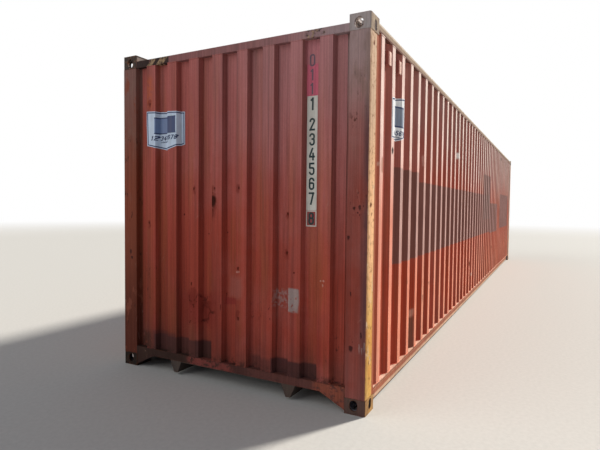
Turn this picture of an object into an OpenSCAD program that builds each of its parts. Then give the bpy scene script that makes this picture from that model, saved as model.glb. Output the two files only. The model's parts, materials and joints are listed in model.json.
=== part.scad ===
// A forty foot high cube dry cargo container, built as its welded and pinned pieces.
// Millimetres. The origin is on the ground under the middle of the box.
// The plain front wall faces +X, the doors face -X and the left side faces +Y.

/* [Box] */
// Length over the corner castings
box_length = 12192; // [9000:2:13700]
// Width over the corner castings
box_width = 2438; // [2300:2:2600]
// Height over the corner castings
box_height = 2896; // [2400:2:3100]
// How far the castings stand proud of the posts and rails
casting_proud = 3; // [1:0.5:5]
// Smoothness of round edges
round_steps = 48; // [24:4:96]

/* [Corner castings] */
// Casting size along the box
casting_length = 178; // [172:1:186]
// Casting size across the box
casting_width = 162; // [155:1:172]
// Casting height
casting_height = 118; // [114:1:124]
// Radius of the upright outer edge
casting_round = 14; // [6:1:20]
// Thickness of the plate with the lock slot
casting_plate = 28; // [22:1:32]
// Thickness of the two outer walls
casting_wall = 16; // [12:1:20]
// Thickness of the two blind walls and the blind plate
casting_back = 10; // [8:1:14]
// Lock slot centre to the end of the box
slot_from_end = 103.5; // [98:0.5:108]
// Lock slot centre to the side of the box
slot_from_side = 89.5; // [86:0.5:94]
// Lock slot length
slot_length = 124.5; // [110:0.5:128]
// Lock slot width
slot_width = 63.5; // [58:0.5:68]
// Width of the hole in the side face
side_hole_width = 51; // [44:1:56]
// Width of the hole in the end face
end_hole_width = 63.5; // [56:0.5:68]
// Height of the holes in the side and end faces
face_hole_height = 79.5; // [70:0.5:80]

/* [Corner posts] */
// Sheet thickness of the posts
post_sheet = 6; // [4:0.5:8]
// Width of the front post's face
front_post_face = 155; // [130:1:170]
// Depth of the front post's return
front_post_return = 50; // [46:1:56]
// Width of the lip that carries the front wall
front_post_lip = 33; // [24:1:45]
// Width of the rear post
rear_post_width = 46; // [44:1:52]
// Gap inside the rear post's outer fold
rear_post_fold_gap = 3; // [1:0.5:4]
// Depth of the recess that holds the hinges
hinge_recess = 44; // [40:1:50]
// Depth of the channel inside the rear post
inner_channel_depth = 113; // [90:1:118]
// Thickness of the channel inside the rear post
inner_channel_wall = 12; // [8:1:14]

/* [Frame rails] */
// Side of the square tubes along the roof edges
tube_side = 60; // [50:1:70]
// Wall of the tubes
tube_wall = 3; // [2.5:0.5:5]
// Top of the roof rails below the top of the castings
roof_rail_drop = 26; // [24:1:34]
// Top of the bottom side rails above the ground
side_rail_top = 163; // [155:1:168]
// Bottom of the bottom side rails above the ground
side_rail_low = 17; // [12.5:0.5:24]
// Width of the outer top flange of the bottom side rails
side_rail_flange = 49; // [45:1:56]
// Width of the inner low flange of the bottom side rails
side_rail_foot = 30; // [20:1:40]
// Sheet thickness of the bottom side rails
side_rail_sheet = 4.5; // [3:0.5:6]
// Height of the front sill tube
front_sill_height = 66; // [56:1:76]
// Width of the sloped bracket between front sill and casting
sill_bracket_width = 205; // [150:1:260]
// Thickness of the sill bracket plates
sill_bracket_plate = 6; // [4:0.5:8]

/* [Corrugated walls] */
// Sheet thickness of the walls
wall_sheet = 2; // [1.6:0.1:3]
// Side wall ridges behind the outer plane of the castings
side_wall_inset = 5; // [4:0.5:7]
// Depth of the side wall corrugation
side_wall_depth = 36; // [30:1:38]
// Flat of a side wall ridge
side_ridge = 72; // [60:1:80]
// Flat of a side wall valley
side_valley = 70; // [60:1:80]
// Sloped run between ridge and valley of the side wall
side_slope = 68; // [50:1:74]
// Flat beside the front post
side_first_flat = 10; // [6:1:40]
// Least flat beside the rear post
side_last_flat = 60; // [40:1:160]
// Front wall ridges behind the front plane of the castings
front_wall_inset = 5; // [4:0.5:7]
// Depth of the front wall corrugation
front_wall_depth = 45.6; // [40:0.2:46]
// Spacing of the front wall ridges
front_pitch = 250; // [240:1:256]
// Flat of a front wall ridge
front_ridge = 104; // [90:1:110]
// Sloped run between ridge and valley of the front wall
front_slope = 18; // [12:1:24]
// Number of front wall ridges
front_ridges = 8; // [4:1:8]

/* [Roof] */
// Sheet thickness of the roof
roof_sheet = 2; // [1.6:0.1:3]
// Spacing of the roof ribs
roof_pitch = 209; // [190:1:240]
// Flat on top of a roof rib
roof_rib_top = 91; // [70:1:110]
// Sloped run at each side of a roof rib
roof_rib_slope = 14; // [10:1:20]
// Height of the roof ribs
roof_rib_height = 18; // [12:1:19]
// Flat edge between the ribs and the side of the roof
roof_margin = 110; // [80:1:160]
// Sloped run at each end of a roof rib
roof_rib_end = 40; // [20:1:60]
// Roof sheet edge inside the outer plane
roof_edge_inset = 13; // [8:1:30]
// Thickness of the end plates of the roof
end_plate = 3; // [2:0.5:5]
// Length of the end plates behind the castings
end_plate_length = 200; // [120:5:400]
// Flat of the front end plate on the header
end_plate_foot = 70; // [50:1:80]
// Sloped run of the front end plate up to the roof
end_plate_slope = 20; // [10:1:30]

/* [Floor] */
// Floor surface above the ground
floor_top = 170; // [166:1:180]
// Thickness of the floor panels
floor_thick = 28; // [21:1:30]
// Width of the rail in the middle of the floor
floor_rail_width = 50; // [40:1:70]
// Sheet thickness of the floor rail
floor_rail_sheet = 4; // [3:0.5:5]
// Spacing of the cross members
member_pitch = 300; // [260:5:400]
// Flange width of the cross members
member_flange = 45; // [35:1:75]
// Sheet thickness of the cross members
member_sheet = 4; // [3:0.5:5]

/* [Tunnel under the front] */
// Length of the tunnel
tunnel_length = 3315; // [3000:5:3600]
// Clear width of the tunnel
tunnel_width = 1029; // [1000:1:1060]
// Clear height of the tunnel
tunnel_height = 120; // [110:1:126]
// Thickness of the tunnel plate
tunnel_plate_thick = 3; // [2:0.5:5]
// Width of a tunnel side beam at its top
tunnel_beam_top = 125; // [100:1:150]
// Width of a tunnel side beam at its foot
tunnel_beam_foot = 40; // [30:1:60]
// Underside of the tunnel side beams above the ground
tunnel_beam_low = 20; // [14:1:30]
// Sheet thickness of the tunnel side beams and bows
tunnel_beam_sheet = 4; // [3:0.5:6]
// Number of bows on the tunnel plate
tunnel_bows_count = 8; // [5:1:10]
// Width of a bow
tunnel_bow_width = 120; // [90:1:160]

/* [Door frame] */
// Door frame face behind the posts' outer plane
door_frame_setback = 55; // [50:1:60]
// Depth of the door header and sill
door_frame_depth = 95; // [80:1:110]
// Sheet thickness of the door header and sill
door_frame_sheet = 4; // [3:0.5:6]
// Top of the doorway below the top of the castings
doorway_drop = 141; // [125:1:160]
// Underside of the door sill above the ground
door_sill_low = 20; // [12.5:0.5:30]

/* [Doors] */
// Door faces behind the posts' outer plane
door_setback = 62; // [60:1:70]
// Thickness of the doors
door_thick = 50; // [45:1:60]
// Gap between a door and the doorway, filled by the gasket
door_gap = 10; // [8:1:14]
// Half of the gap between the two doors
door_middle_gap = 6; // [4:1:10]
// Width of the upright door frame tubes
door_stile = 100; // [70:1:120]
// Height of the door frame's top and bottom channels
door_cross_rail = 150; // [100:1:180]
// Wall of the door frame
door_frame_wall = 3; // [2:0.5:5]
// Depth of the recesses in the door panels
door_recess = 32; // [20:1:36]
// Height of a recess floor in the door panels
door_recess_floor = 70; // [50:1:100]
// Sloped run of the door panel recesses
door_recess_slope = 40; // [20:1:60]
// Number of recesses in a door panel
door_recesses = 5; // [3:1:6]
// Depth of the gasket along the door edges
gasket_depth = 26; // [18:1:34]
// Running clearance of moving door parts
running_gap = 0.3; // [0.2:0.1:0.5]

/* [Door hardware] */
// Diameter of the lock rods
rod_size = 34; // [30:1:38]
// Lock rod centre behind the posts' outer plane
rod_setback = 35; // [33:1:38]
// Inner lock rods from the middle of the box
inner_rod_offset = 190; // [150:5:250]
// Outer lock rods from the middle of the box
outer_rod_offset = 820; // [700:5:880]
// Height of the handles of the inner rods
inner_handle_height = 1180; // [900:10:1300]
// Rise of the outer rods' handles over the inner ones
outer_handle_rise = 165; // [130:5:320]
// Length of a handle
handle_length = 440; // [380:5:480]
// Height of a handle bar
handle_bar = 38; // [30:1:45]
// Thickness of a handle bar
handle_thick = 10; // [8:1:12]
// Width of the catch under a handle's end
catch_width = 50; // [30:1:80]
// Plate thickness of the handle catches
catch_plate = 6; // [4:0.5:8]
// Width of a lock cam
cam_width = 78; // [64:1:90]
// Growth of a handle's hub over the rod's diameter
handle_collar = 12; // [8:1:14]
// Thickness of a lock cam
cam_thick = 18; // [12:1:24]
// Width of a cam keeper
keeper_width = 110; // [100:1:130]
// Height of a cam keeper finger
keeper_finger = 16; // [10:1:20]
// Clearance between a lock rod and its keeper
keeper_gap = 2; // [1:0.5:4]
// Number of hinges on a door
hinge_count = 4; // [3:1:5]
// First and last hinge from the ends of the door
hinge_end_distance = 260; // [200:10:400]
// Diameter of the hinge pins
hinge_pin = 13; // [10:0.5:14]
// Gap between a hinge knuckle and the recess it stands in
hinge_side_gap = 1.5; // [0.5:0.5:3]
// Height of the hinge strap
hinge_strap_height = 76; // [60:1:100]
// Thickness of the hinge lugs and straps
hinge_plate = 9; // [7:0.5:10]
// Reach of the hinge strap over the door
hinge_strap_reach = 150; // [100:5:200]
// Bracket under a handle below the handle's height
handle_bracket_drop = 110; // [90:5:200]
// Height of a rod bracket
rod_bracket_height = 60; // [40:1:80]
// Width of a rod bracket's foot
rod_bracket_width = 96; // [80:1:120]

/* [Ventilators] */
// Width of a ventilator
vent_width = 76; // [60:1:100]
// Height of a ventilator
vent_height = 105; // [80:1:200]
// Top of the ventilators below the roof rail
vent_drop = 65; // [40:1:120]
// Ventilator face behind the outer plane
vent_inset = 8; // [6:1:12]

/* [Hidden] */
$fn = round_steps;

// Extra reach of a cut past the face it opens
cut = 1;
// Height of the handles of the outer rods
outer_handle_height = inner_handle_height + outer_handle_rise;

// Planes of the frame, a little inside the castings
front_plane = box_length / 2 - casting_proud;
rear_plane = -front_plane;
side_plane = box_width / 2 - casting_proud;
rail_end = box_length / 2 - casting_length;
casting_inner = box_width / 2 - casting_width;
casting_under = box_height - casting_height;

// Heights of the frame
roof_base = box_height - roof_rail_drop;
roof_rail_low = roof_base - tube_side;
front_sill_low = tunnel_height + tunnel_plate_thick;
front_sill_top = front_sill_low + front_sill_height;
floor_under = floor_top - floor_thick;
doorway_top = box_height - doorway_drop;
member_low = side_rail_low + side_rail_sheet;

// Inner faces
front_return = side_plane - front_post_face;
front_lip_end = front_return - front_post_lip;
sill_rear = front_plane - tube_side;
rail_web_inner = side_plane - side_rail_flange;
doorway_half = side_plane - rear_post_width;
rear_post_fold = 2 * post_sheet + rear_post_fold_gap;
door_frame_rear = rear_plane + door_frame_setback;
door_frame_front = door_frame_rear + door_frame_depth;
tunnel_end = box_length / 2 - tunnel_length;
tunnel_half = tunnel_width / 2;
tunnel_outer = tunnel_half + tunnel_beam_top;
// Sideways run of a tunnel beam's leaning side
tunnel_beam_slant = (tunnel_beam_top - tunnel_beam_foot) / 2;

// Side wall
side_ridge_plane = box_width / 2 - side_wall_inset;
side_valley_plane = side_ridge_plane - side_wall_depth;
side_pitch = side_ridge + side_valley + 2 * side_slope;
side_ridges = floor((2 * rail_end - side_first_flat - side_last_flat + side_valley) / side_pitch);
side_ridge_start = rail_end - side_first_flat - side_slope - side_ridge / 2;

// Front wall
front_ridge_plane = box_length / 2 - front_wall_inset;
front_valley_plane = front_ridge_plane - front_wall_depth;

// Doors
door_face = rear_plane + door_setback;
door_inner_face = door_face + door_thick;
door_low = floor_top + door_gap;
door_top = doorway_top - door_gap;
door_outer_edge = doorway_half - door_gap;
rod_x = rear_plane + rod_setback;
keeper_bottom_height = (door_sill_low + floor_top) / 2;
keeper_top_height = (doorway_top + roof_base) / 2;
hinge_y = doorway_half + (rear_post_width - rear_post_fold) / 2;
hinge_knuckle = rear_post_width - rear_post_fold - 2 * hinge_side_gap;
hinge_x = rear_plane + hinge_recess - hinge_knuckle / 2 - hinge_plate;
hinge_span = door_top - door_low - 2 * hinge_end_distance;

// Direction square to the line from a to b, on its left
function square_to(a, b) = [a[1] - b[1], b[0] - a[0]] / norm(b - a);

// Point i of the line p moved sideways by t, mitred at its bends
function moved(p, i, t) =
    let (last = len(p) - 1)
    let (before = square_to(p[max(i - 1, 0)], p[max(i, 1)]))
    let (after = square_to(p[min(i, last - 1)], p[min(i + 1, last)]))
    let (both = before + after)
    p[i] + both * 2 * t / (both * both);

// Outline of a pressed sheet of thickness t that follows the line p
function pressed(p, t) = concat(p, [for (i = [len(p) - 1 : -1 : 0]) moved(p, i, t)]);

// One pressed ridge as [run, rise], centred on its flat
function ridge_line(flat, slope, depth) = [
    [-flat / 2 - slope, 0], [-flat / 2, depth], [flat / 2, depth], [flat / 2 + slope, 0]
];

// A section drawn as [y, z], run along the box
module along_x(x0, x1) {
    translate([x0, 0, 0]) rotate([90, 0, 90]) linear_extrude(x1 - x0) children();
}

// A section drawn as [x, z], run across the box
module along_y(y0, y1) {
    translate([0, y1, 0]) rotate([90, 0, 0]) linear_extrude(y1 - y0) children();
}

// A plan drawn as [x, y], raised
module upright(z0, z1) {
    translate([0, 0, z0]) linear_extrude(z1 - z0) children();
}

// Left pieces as drawn, right pieces mirrored
module on_side(side) {
    mirror([0, side < 0 ? 1 : 0, 0]) children();
}

// Round-ended slot, long along the first direction
module slot_outline(long, wide) {
    square([long - wide, wide], center = true);
    for (end = [-1, 1]) {
        translate([end * (long - wide) / 2, 0]) circle(d = wide);
    }
}

module tube_outline(wide, high, wall) {
    difference() {
        square([wide, high]);
        translate([wall, wall]) square([wide - 2 * wall, high - 2 * wall]);
    }
}

// Corner casting with its outer corner at the origin and its slot plate down
module casting() {
    difference() {
        linear_extrude(casting_height) {
            translate([casting_round, 0]) square([casting_length - casting_round, casting_width]);
            translate([0, casting_round]) square([casting_length, casting_width - casting_round]);
            translate([casting_round, casting_round]) circle(casting_round);
        }
        translate([casting_wall, casting_wall, casting_plate]) {
            cube([
                casting_length - casting_wall - casting_back,
                casting_width - casting_wall - casting_back,
                casting_height - casting_plate - casting_back
            ]);
        }
        translate([slot_from_end, slot_from_side, -cut]) {
            linear_extrude(casting_plate + 2 * cut) slot_outline(slot_length, slot_width);
        }
        translate([slot_from_end, -cut, casting_plate + face_hole_height / 2]) {
            rotate([-90, 90, 0]) {
                linear_extrude(casting_wall + 2 * cut) slot_outline(face_hole_height, side_hole_width);
            }
        }
        translate([-cut, slot_from_side, casting_plate + face_hole_height / 2]) {
            rotate([0, 90, 0]) {
                linear_extrude(casting_wall + 2 * cut) slot_outline(face_hole_height, end_hole_width);
            }
        }
    }
}

// End 1 is the front and -1 the rear, side 1 the left, level 1 the top
module placed_casting(end, side, level) {
    color("saddlebrown")
    translate([end * box_length / 2, side * box_width / 2, level * box_height])
    mirror([end > 0 ? 1 : 0, 0, 0])
    mirror([0, side > 0 ? 1 : 0, 0])
    mirror([0, 0, level])
    casting();
}

// Pressed open post with a lip for the side wall and a lip for the front wall
module front_post(side) {
    line = [
        [rail_end, side_valley_plane - wall_sheet],
        [rail_end, side_plane],
        [front_plane, side_plane],
        [front_plane, front_return],
        [front_plane - front_post_return, front_return],
        [front_plane - front_post_return, front_lip_end]
    ];
    color("peru")
    on_side(side)
    difference() {
        upright(casting_height, casting_under) polygon(pressed(line, -post_sheet));
        translate([sill_rear, front_lip_end - cut, casting_height - cut]) {
            cube([tube_side - tube_wall, front_post_lip + cut, front_sill_top - casting_height + cut]);
        }
    }
}

// Folded outer sheet with a thick channel inside, which carries the hinges
module rear_post(side) {
    recess_y = side_plane - rear_post_fold;
    recess_x = rear_plane + hinge_recess;
    outer_line = [
        [-rail_end, side_valley_plane - wall_sheet],
        [-rail_end, side_plane],
        [rear_plane, side_plane],
        [rear_plane, recess_y],
        [recess_x, recess_y],
        [recess_x, doorway_half]
    ];
    channel_x = recess_x + post_sheet;
    channel_y = side_plane - post_sheet;
    channel_line = [
        [channel_x, channel_y],
        [channel_x, doorway_half],
        [channel_x + inner_channel_depth, doorway_half],
        [channel_x + inner_channel_depth, channel_y]
    ];
    color("brown")
    on_side(side)
    upright(casting_height, casting_under) {
        polygon(pressed(outer_line, post_sheet));
        polygon(pressed(channel_line, inner_channel_wall));
    }
}

module front_header() {
    color("brown")
    along_y(-casting_inner, casting_inner) {
        translate([front_plane - tube_side, casting_under]) tube_outline(tube_side, tube_side, tube_wall);
    }
}

// Tube between the posts, with a sloped bracket down to each bottom casting
module front_sill() {
    bracket_start = casting_inner - sill_bracket_width;
    bracket_line = [[bracket_start, front_sill_low], [casting_inner, tunnel_beam_low]];
    color("sienna") {
        along_y(-front_return, front_return) {
            translate([sill_rear, front_sill_low]) tube_outline(tube_side, front_sill_height, tube_wall);
        }
        for (side = [-1, 1]) {
            on_side(side) {
                along_x(front_plane - sill_bracket_plate, front_plane) {
                    polygon([
                        [bracket_start, front_sill_low],
                        [casting_inner, tunnel_beam_low],
                        [casting_inner, front_sill_low]
                    ]);
                }
                along_x(sill_rear, front_plane) {
                    intersection() {
                        polygon(pressed(bracket_line, sill_bracket_plate));
                        square([casting_inner, front_sill_low]);
                    }
                }
            }
        }
    }
}

// Box section over the doors, let in below the top castings
module door_header() {
    color("brown")
    difference() {
        along_y(-doorway_half, doorway_half) {
            translate([door_frame_rear, doorway_top]) {
                tube_outline(door_frame_depth, roof_base - doorway_top, door_frame_sheet);
            }
        }
        for (side = [-1, 1]) {
            on_side(side) {
                translate([-box_length / 2, casting_inner, casting_under]) {
                    cube([casting_length, casting_width, casting_height]);
                }
            }
        }
    }
}

// Pressed channel under the doors, let in above the bottom castings
module door_sill() {
    line = [
        [door_frame_front, floor_under],
        [door_frame_front, floor_top],
        [door_frame_rear, floor_top],
        [door_frame_rear, door_sill_low],
        [door_frame_front, door_sill_low]
    ];
    color("sienna")
    difference() {
        along_y(-doorway_half, doorway_half) polygon(pressed(line, door_frame_sheet));
        for (side = [-1, 1]) {
            on_side(side) {
                translate([-box_length / 2, casting_inner, 0]) {
                    cube([casting_length, casting_width, casting_height]);
                }
            }
        }
    }
}

module top_rail(side) {
    color("tan")
    on_side(side)
    along_x(-rail_end, rail_end) {
        translate([side_plane - tube_side, roof_rail_low]) tube_outline(tube_side, tube_side, tube_wall);
    }
}

// Web set back under the wall, outer ledge on top and inner foot below
module bottom_rail(side) {
    line = [
        [side_plane, side_rail_top],
        [rail_web_inner, side_rail_top],
        [rail_web_inner, member_low],
        [rail_web_inner - side_rail_foot, member_low]
    ];
    color("sienna")
    on_side(side)
    along_x(-rail_end, rail_end) polygon(pressed(line, side_rail_sheet));
}

module front_wall() {
    middle = (front_ridges - 1) / 2;
    ridge = ridge_line(front_ridge, front_slope, front_wall_depth);
    ridges = [
        for (i = [0 : front_ridges - 1], corner = ridge)
            [front_valley_plane + corner[1], (i - middle) * front_pitch + corner[0]]
    ];
    line = concat([[front_valley_plane, -front_lip_end]], ridges, [[front_valley_plane, front_lip_end]]);
    color("firebrick")
    upright(front_sill_top, casting_under) polygon(pressed(line, wall_sheet));
}

// Outer line of the side wall, from the front post to the rear post
side_wall_line = concat(
    [[rail_end, side_valley_plane]],
    [
        for (i = [0 : side_ridges - 1], corner = ridge_line(side_ridge, side_slope, side_wall_depth))
            [
                side_ridge_start - i * side_pitch - corner[0],
                side_valley_plane + corner[1]
            ]
    ],
    [[-rail_end, side_valley_plane]]
);

module side_wall(side) {
    color("indianred")
    on_side(side)
    upright(side_rail_top, roof_rail_low) polygon(pressed(side_wall_line, wall_sheet));
}

// Flat sheet with raised ribs that slope down at their sides and ends
module roof() {
    half_length = rail_end - end_plate_length;
    half_width = side_plane - roof_edge_inset;
    rib_half = half_width - roof_margin;
    rib_foot = roof_rib_top / 2 + roof_rib_slope;
    ribs = floor((2 * half_length - roof_margin) / roof_pitch);
    side_lean = roof_rib_slope / roof_rib_height;
    end_lean = roof_rib_end / roof_rib_height;
    color("firebrick")
    translate([0, 0, roof_base])
    difference() {
        union() {
            translate([-half_length, -half_width, 0]) cube([2 * half_length, 2 * half_width, roof_sheet]);
            rib_block(ribs, rib_foot, rib_half, roof_sheet, roof_rib_height, side_lean, end_lean);
        }
        translate([0, 0, -roof_sheet]) {
            rib_block(ribs, rib_foot, rib_half, roof_sheet, roof_rib_height, side_lean, end_lean);
        }
    }
}

// Row of solid ribs on a base of the given height, with leaning sides and ends
module rib_block(ribs, foot, half, base, high, side_lean, end_lean) {
    intersection() {
        along_y(-half, half) {
            for (i = [0 : ribs - 1]) {
                translate([(i - (ribs - 1) / 2) * roof_pitch, 0]) {
                    polygon([
                        [-foot, 0], [foot, 0], [foot, base],
                        [foot - high * side_lean, base + high],
                        [high * side_lean - foot, base + high], [-foot, base]
                    ]);
                }
            }
        }
        along_x(-rail_end, rail_end) {
            polygon([
                [-half, 0], [half, 0], [half, base],
                [half - high * end_lean, base + high],
                [high * end_lean - half, base + high], [-half, base]
            ]);
        }
    }
}

// Flat strip of full width behind the castings at one end
module end_strip(end) {
    half_width = side_plane - roof_edge_inset;
    mirror([end < 0 ? 1 : 0, 0, 0])
    translate([rail_end - end_plate_length, -half_width, roof_base]) {
        cube([end_plate_length, 2 * half_width, end_plate]);
    }
}

module roof_plate_front() {
    foot_end = front_plane - tube_side / 4 - end_plate_foot;
    line = [
        [front_plane - tube_side / 4, casting_under + tube_side],
        [foot_end, casting_under + tube_side],
        [foot_end - end_plate_slope, roof_base],
        [rail_end - end_plate, roof_base]
    ];
    color("brown") {
        along_y(-casting_inner, casting_inner) polygon(pressed(line, -end_plate));
        end_strip(1);
    }
}

module roof_plate_rear() {
    color("brown") {
        along_y(-casting_inner, casting_inner) {
            translate([door_frame_rear, roof_base]) {
                square([end_plate - rail_end - door_frame_rear, end_plate]);
            }
        }
        end_strip(-1);
    }
}

module floor_boards() {
    color("burlywood")
    for (side = [-1, 1]) {
        on_side(side) {
            translate([door_frame_front, floor_rail_width / 2, floor_under]) {
                cube([sill_rear - door_frame_front, rail_web_inner - floor_rail_width / 2, floor_thick]);
            }
        }
    }
}

// Hat section between the floor panels
module floor_rail() {
    half = floor_rail_width / 2;
    line = [[-half, floor_under], [-half, floor_top], [half, floor_top], [half, floor_under]];
    color("slategray")
    along_x(door_frame_front, sill_rear) polygon(pressed(line, -floor_rail_sheet));
}

// Outline of an open channel with its web at x 0
module member_outline() {
    polygon(pressed([
        [member_flange, floor_under], [0, floor_under],
        [0, member_low], [member_flange, member_low]
    ], member_sheet));
}

// Whole width members from the tunnel's end back to the doors
module cross_members() {
    count = floor((tunnel_end - door_frame_front - member_flange) / member_pitch);
    color("sienna")
    for (i = [0 : count]) {
        translate([tunnel_end - i * member_pitch, 0, 0]) {
            mirror([1, 0, 0]) along_y(-rail_web_inner, rail_web_inner) member_outline();
        }
    }
}

// Channels from the bottom rail to the tunnel beam
module outriggers(side) {
    count = floor((rail_end - member_flange - tunnel_end) / member_pitch);
    color("sienna")
    on_side(side)
    difference() {
        for (i = [1 : count]) {
            translate([tunnel_end + i * member_pitch, 0, 0]) {
                along_y(tunnel_half, rail_web_inner) member_outline();
            }
        }
        along_x(tunnel_end, box_length / 2) {
            polygon([
                [0, 0],
                [tunnel_outer - tunnel_beam_slant, 0],
                [tunnel_outer - tunnel_beam_slant, tunnel_beam_low],
                [tunnel_outer, tunnel_height],
                [tunnel_outer, box_height],
                [0, box_height]
            ]);
        }
    }
}

module tunnel_plate() {
    color("sienna")
    translate([tunnel_end, -tunnel_outer, tunnel_height]) {
        cube([front_plane - tunnel_end, 2 * tunnel_outer, tunnel_plate_thick]);
    }
}

// Open trough with leaning sides, closed by a plate at the front
module tunnel_beam(side) {
    line = [
        [tunnel_half, tunnel_height],
        [tunnel_half + tunnel_beam_slant, tunnel_beam_low],
        [tunnel_outer - tunnel_beam_slant, tunnel_beam_low],
        [tunnel_outer, tunnel_height]
    ];
    color("sienna")
    on_side(side) {
        along_x(tunnel_end, front_plane) {
            intersection() {
                polygon(pressed(line, tunnel_beam_sheet));
                square([tunnel_outer, tunnel_height]);
            }
        }
        along_x(front_plane - sill_bracket_plate, front_plane) polygon(line);
    }
}

// Hat sections across the tunnel plate, under the floor
module tunnel_bows() {
    bow_low = tunnel_height + tunnel_plate_thick;
    spacing = (sill_rear - tunnel_end) / (tunnel_bows_count + 1);
    half = tunnel_bow_width / 2;
    line = [
        [-half, bow_low + member_sheet], [-half / 2, bow_low + member_sheet],
        [-half / 2, floor_under], [half / 2, floor_under],
        [half / 2, bow_low + member_sheet], [half, bow_low + member_sheet]
    ];
    color("sienna")
    for (i = [1 : tunnel_bows_count]) {
        translate([tunnel_end + i * spacing, 0, 0]) {
            along_y(-tunnel_outer, tunnel_outer) polygon(pressed(line, -member_sheet));
        }
    }
}

// Leaf with upright tubes, tubes at top and bottom and a recessed panel, welded with a small bite
module door(side) {
    stile_in_middle = door_middle_gap + door_stile;
    stile_at_hinge = door_outer_edge - door_stile;
    bite = door_frame_wall / 2;
    panel_low = door_low + door_cross_rail;
    panel_top = door_top - door_cross_rail;
    band = (panel_top - panel_low) / door_recesses;
    recess = ridge_line(door_recess_floor, door_recess_slope, door_recess);
    recesses = [
        for (i = [0 : door_recesses - 1], corner = recess)
            [door_face + corner[1], panel_low + (i + 0.5) * band + corner[0]]
    ];
    panel_line = concat([[door_face, panel_low - bite]], recesses, [[door_face, panel_top + bite]]);
    color("firebrick")
    on_side(side) {
        for (edge = [door_middle_gap, stile_at_hinge]) {
            upright(door_low, door_top) {
                translate([door_face, edge]) tube_outline(door_thick, door_stile, door_frame_wall);
            }
        }
        along_y(stile_in_middle - bite, stile_at_hinge + bite) {
            polygon(pressed(panel_line, -wall_sheet));
            for (low = [door_low, panel_top]) {
                translate([door_face, low]) {
                    tube_outline(door_thick, door_cross_rail, door_frame_wall);
                }
            }
        }
    }
}

// Rubber ring that fills the gap round a door
module gasket(side) {
    ring_x = door_inner_face - gasket_depth;
    color("black")
    on_side(side)
    difference() {
        translate([ring_x, running_gap, floor_top]) {
            cube([gasket_depth, doorway_half - running_gap, doorway_top - floor_top]);
        }
        translate([ring_x - cut, door_middle_gap, door_low]) {
            cube([gasket_depth + 2 * cut, door_outer_edge - door_middle_gap, door_top - door_low]);
        }
    }
}

// Two lugs on the post, a strap on the door and a headed pin through them
module hinge() {
    knuckle = hinge_knuckle / 2;
    hole = hinge_pin / 2 + running_gap;
    strap_low = -hinge_strap_height / 2;
    for (low = [strap_low - hinge_plate - running_gap, -strap_low + running_gap]) {
        difference() {
            upright(low, low + hinge_plate) {
                translate([hinge_x, hinge_y]) circle(knuckle);
                translate([hinge_x, hinge_y - knuckle]) {
                    square([rear_plane + hinge_recess - hinge_x, hinge_knuckle]);
                }
            }
            translate([hinge_x, hinge_y, low - cut]) cylinder(r = hole, h = hinge_plate + 2 * cut);
        }
    }
    difference() {
        upright(strap_low, -strap_low) {
            translate([hinge_x, hinge_y]) circle(knuckle);
            polygon([
                [hinge_x - knuckle, hinge_y],
                [hinge_x - knuckle / 2, hinge_y - knuckle],
                [door_face - hinge_plate, door_outer_edge - hinge_plate],
                [door_face - hinge_plate, doorway_half - hinge_strap_reach],
                [door_face, doorway_half - hinge_strap_reach],
                [door_face, door_outer_edge],
                [rear_plane + hinge_recess - cut, doorway_half - cut],
                [rear_plane + hinge_recess - cut, hinge_y]
            ]);
        }
        translate([hinge_x, hinge_y, strap_low - cut]) {
            cylinder(r = hole, h = hinge_strap_height + 2 * cut);
        }
    }
    pin_top = -strap_low + running_gap + hinge_plate;
    translate([hinge_x, hinge_y, -pin_top - hinge_plate]) {
        cylinder(d = hinge_pin, h = 2 * pin_top + hinge_plate);
    }
    translate([hinge_x, hinge_y, pin_top]) cylinder(d = hinge_pin + hinge_plate, h = hinge_plate / 2);
}

module hinges(side) {
    color("dimgray")
    on_side(side)
    for (i = [0 : hinge_count - 1]) {
        height = door_low + hinge_end_distance + i * hinge_span / (hinge_count - 1);
        translate([0, 0, height]) hinge();
    }
}

// Rod with a cam at each end.
// Toward is 1 for a rod whose handle points to the hinges and -1 to the middle.
module lock_rod(offset, toward) {
    cam_bottom = keeper_bottom_height + keeper_finger / 2 + running_gap;
    cam_top = keeper_top_height - keeper_finger / 2 - running_gap - cam_thick;
    rod_low = keeper_bottom_height - keeper_finger / 2;
    rod_top = keeper_top_height + keeper_finger / 2;
    translate([rod_x, offset, 0]) mirror([0, toward < 0 ? 1 : 0, 0]) {
        translate([0, 0, rod_low]) cylinder(d = rod_size, h = rod_top - rod_low);
        for (low = [cam_bottom, cam_top]) {
            upright(low, low + cam_thick) {
                circle(door_frame_setback - rod_setback - keeper_gap);
                translate([-rod_size / 2, 0]) square([rod_size, cam_width / 2]);
            }
        }
    }
}

module lock_rods(side) {
    color("silver")
    on_side(side) {
        lock_rod(inner_rod_offset, 1);
        lock_rod(outer_rod_offset, -1);
    }
}

// Handle that lies along the door, with a hub round its rod
module handle(offset, height, toward) {
    translate([rod_x, offset, height]) mirror([0, toward < 0 ? 1 : 0, 0])
    difference() {
        union() {
            translate([0, 0, -handle_bar]) cylinder(d = rod_size + handle_collar, h = 2 * handle_bar);
            translate([-(rod_size + handle_thick) / 2, 0, -handle_bar / 2]) {
                cube([handle_thick, handle_length, handle_bar]);
            }
        }
        translate([0, 0, -handle_bar - cut]) {
            cylinder(r = rod_size / 2 + running_gap, h = 2 * handle_bar + 2 * cut);
        }
    }
}

module handles(side) {
    color("silver")
    on_side(side) {
        handle(inner_rod_offset, inner_handle_height, 1);
        handle(outer_rod_offset, outer_handle_height, -1);
    }
}

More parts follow.
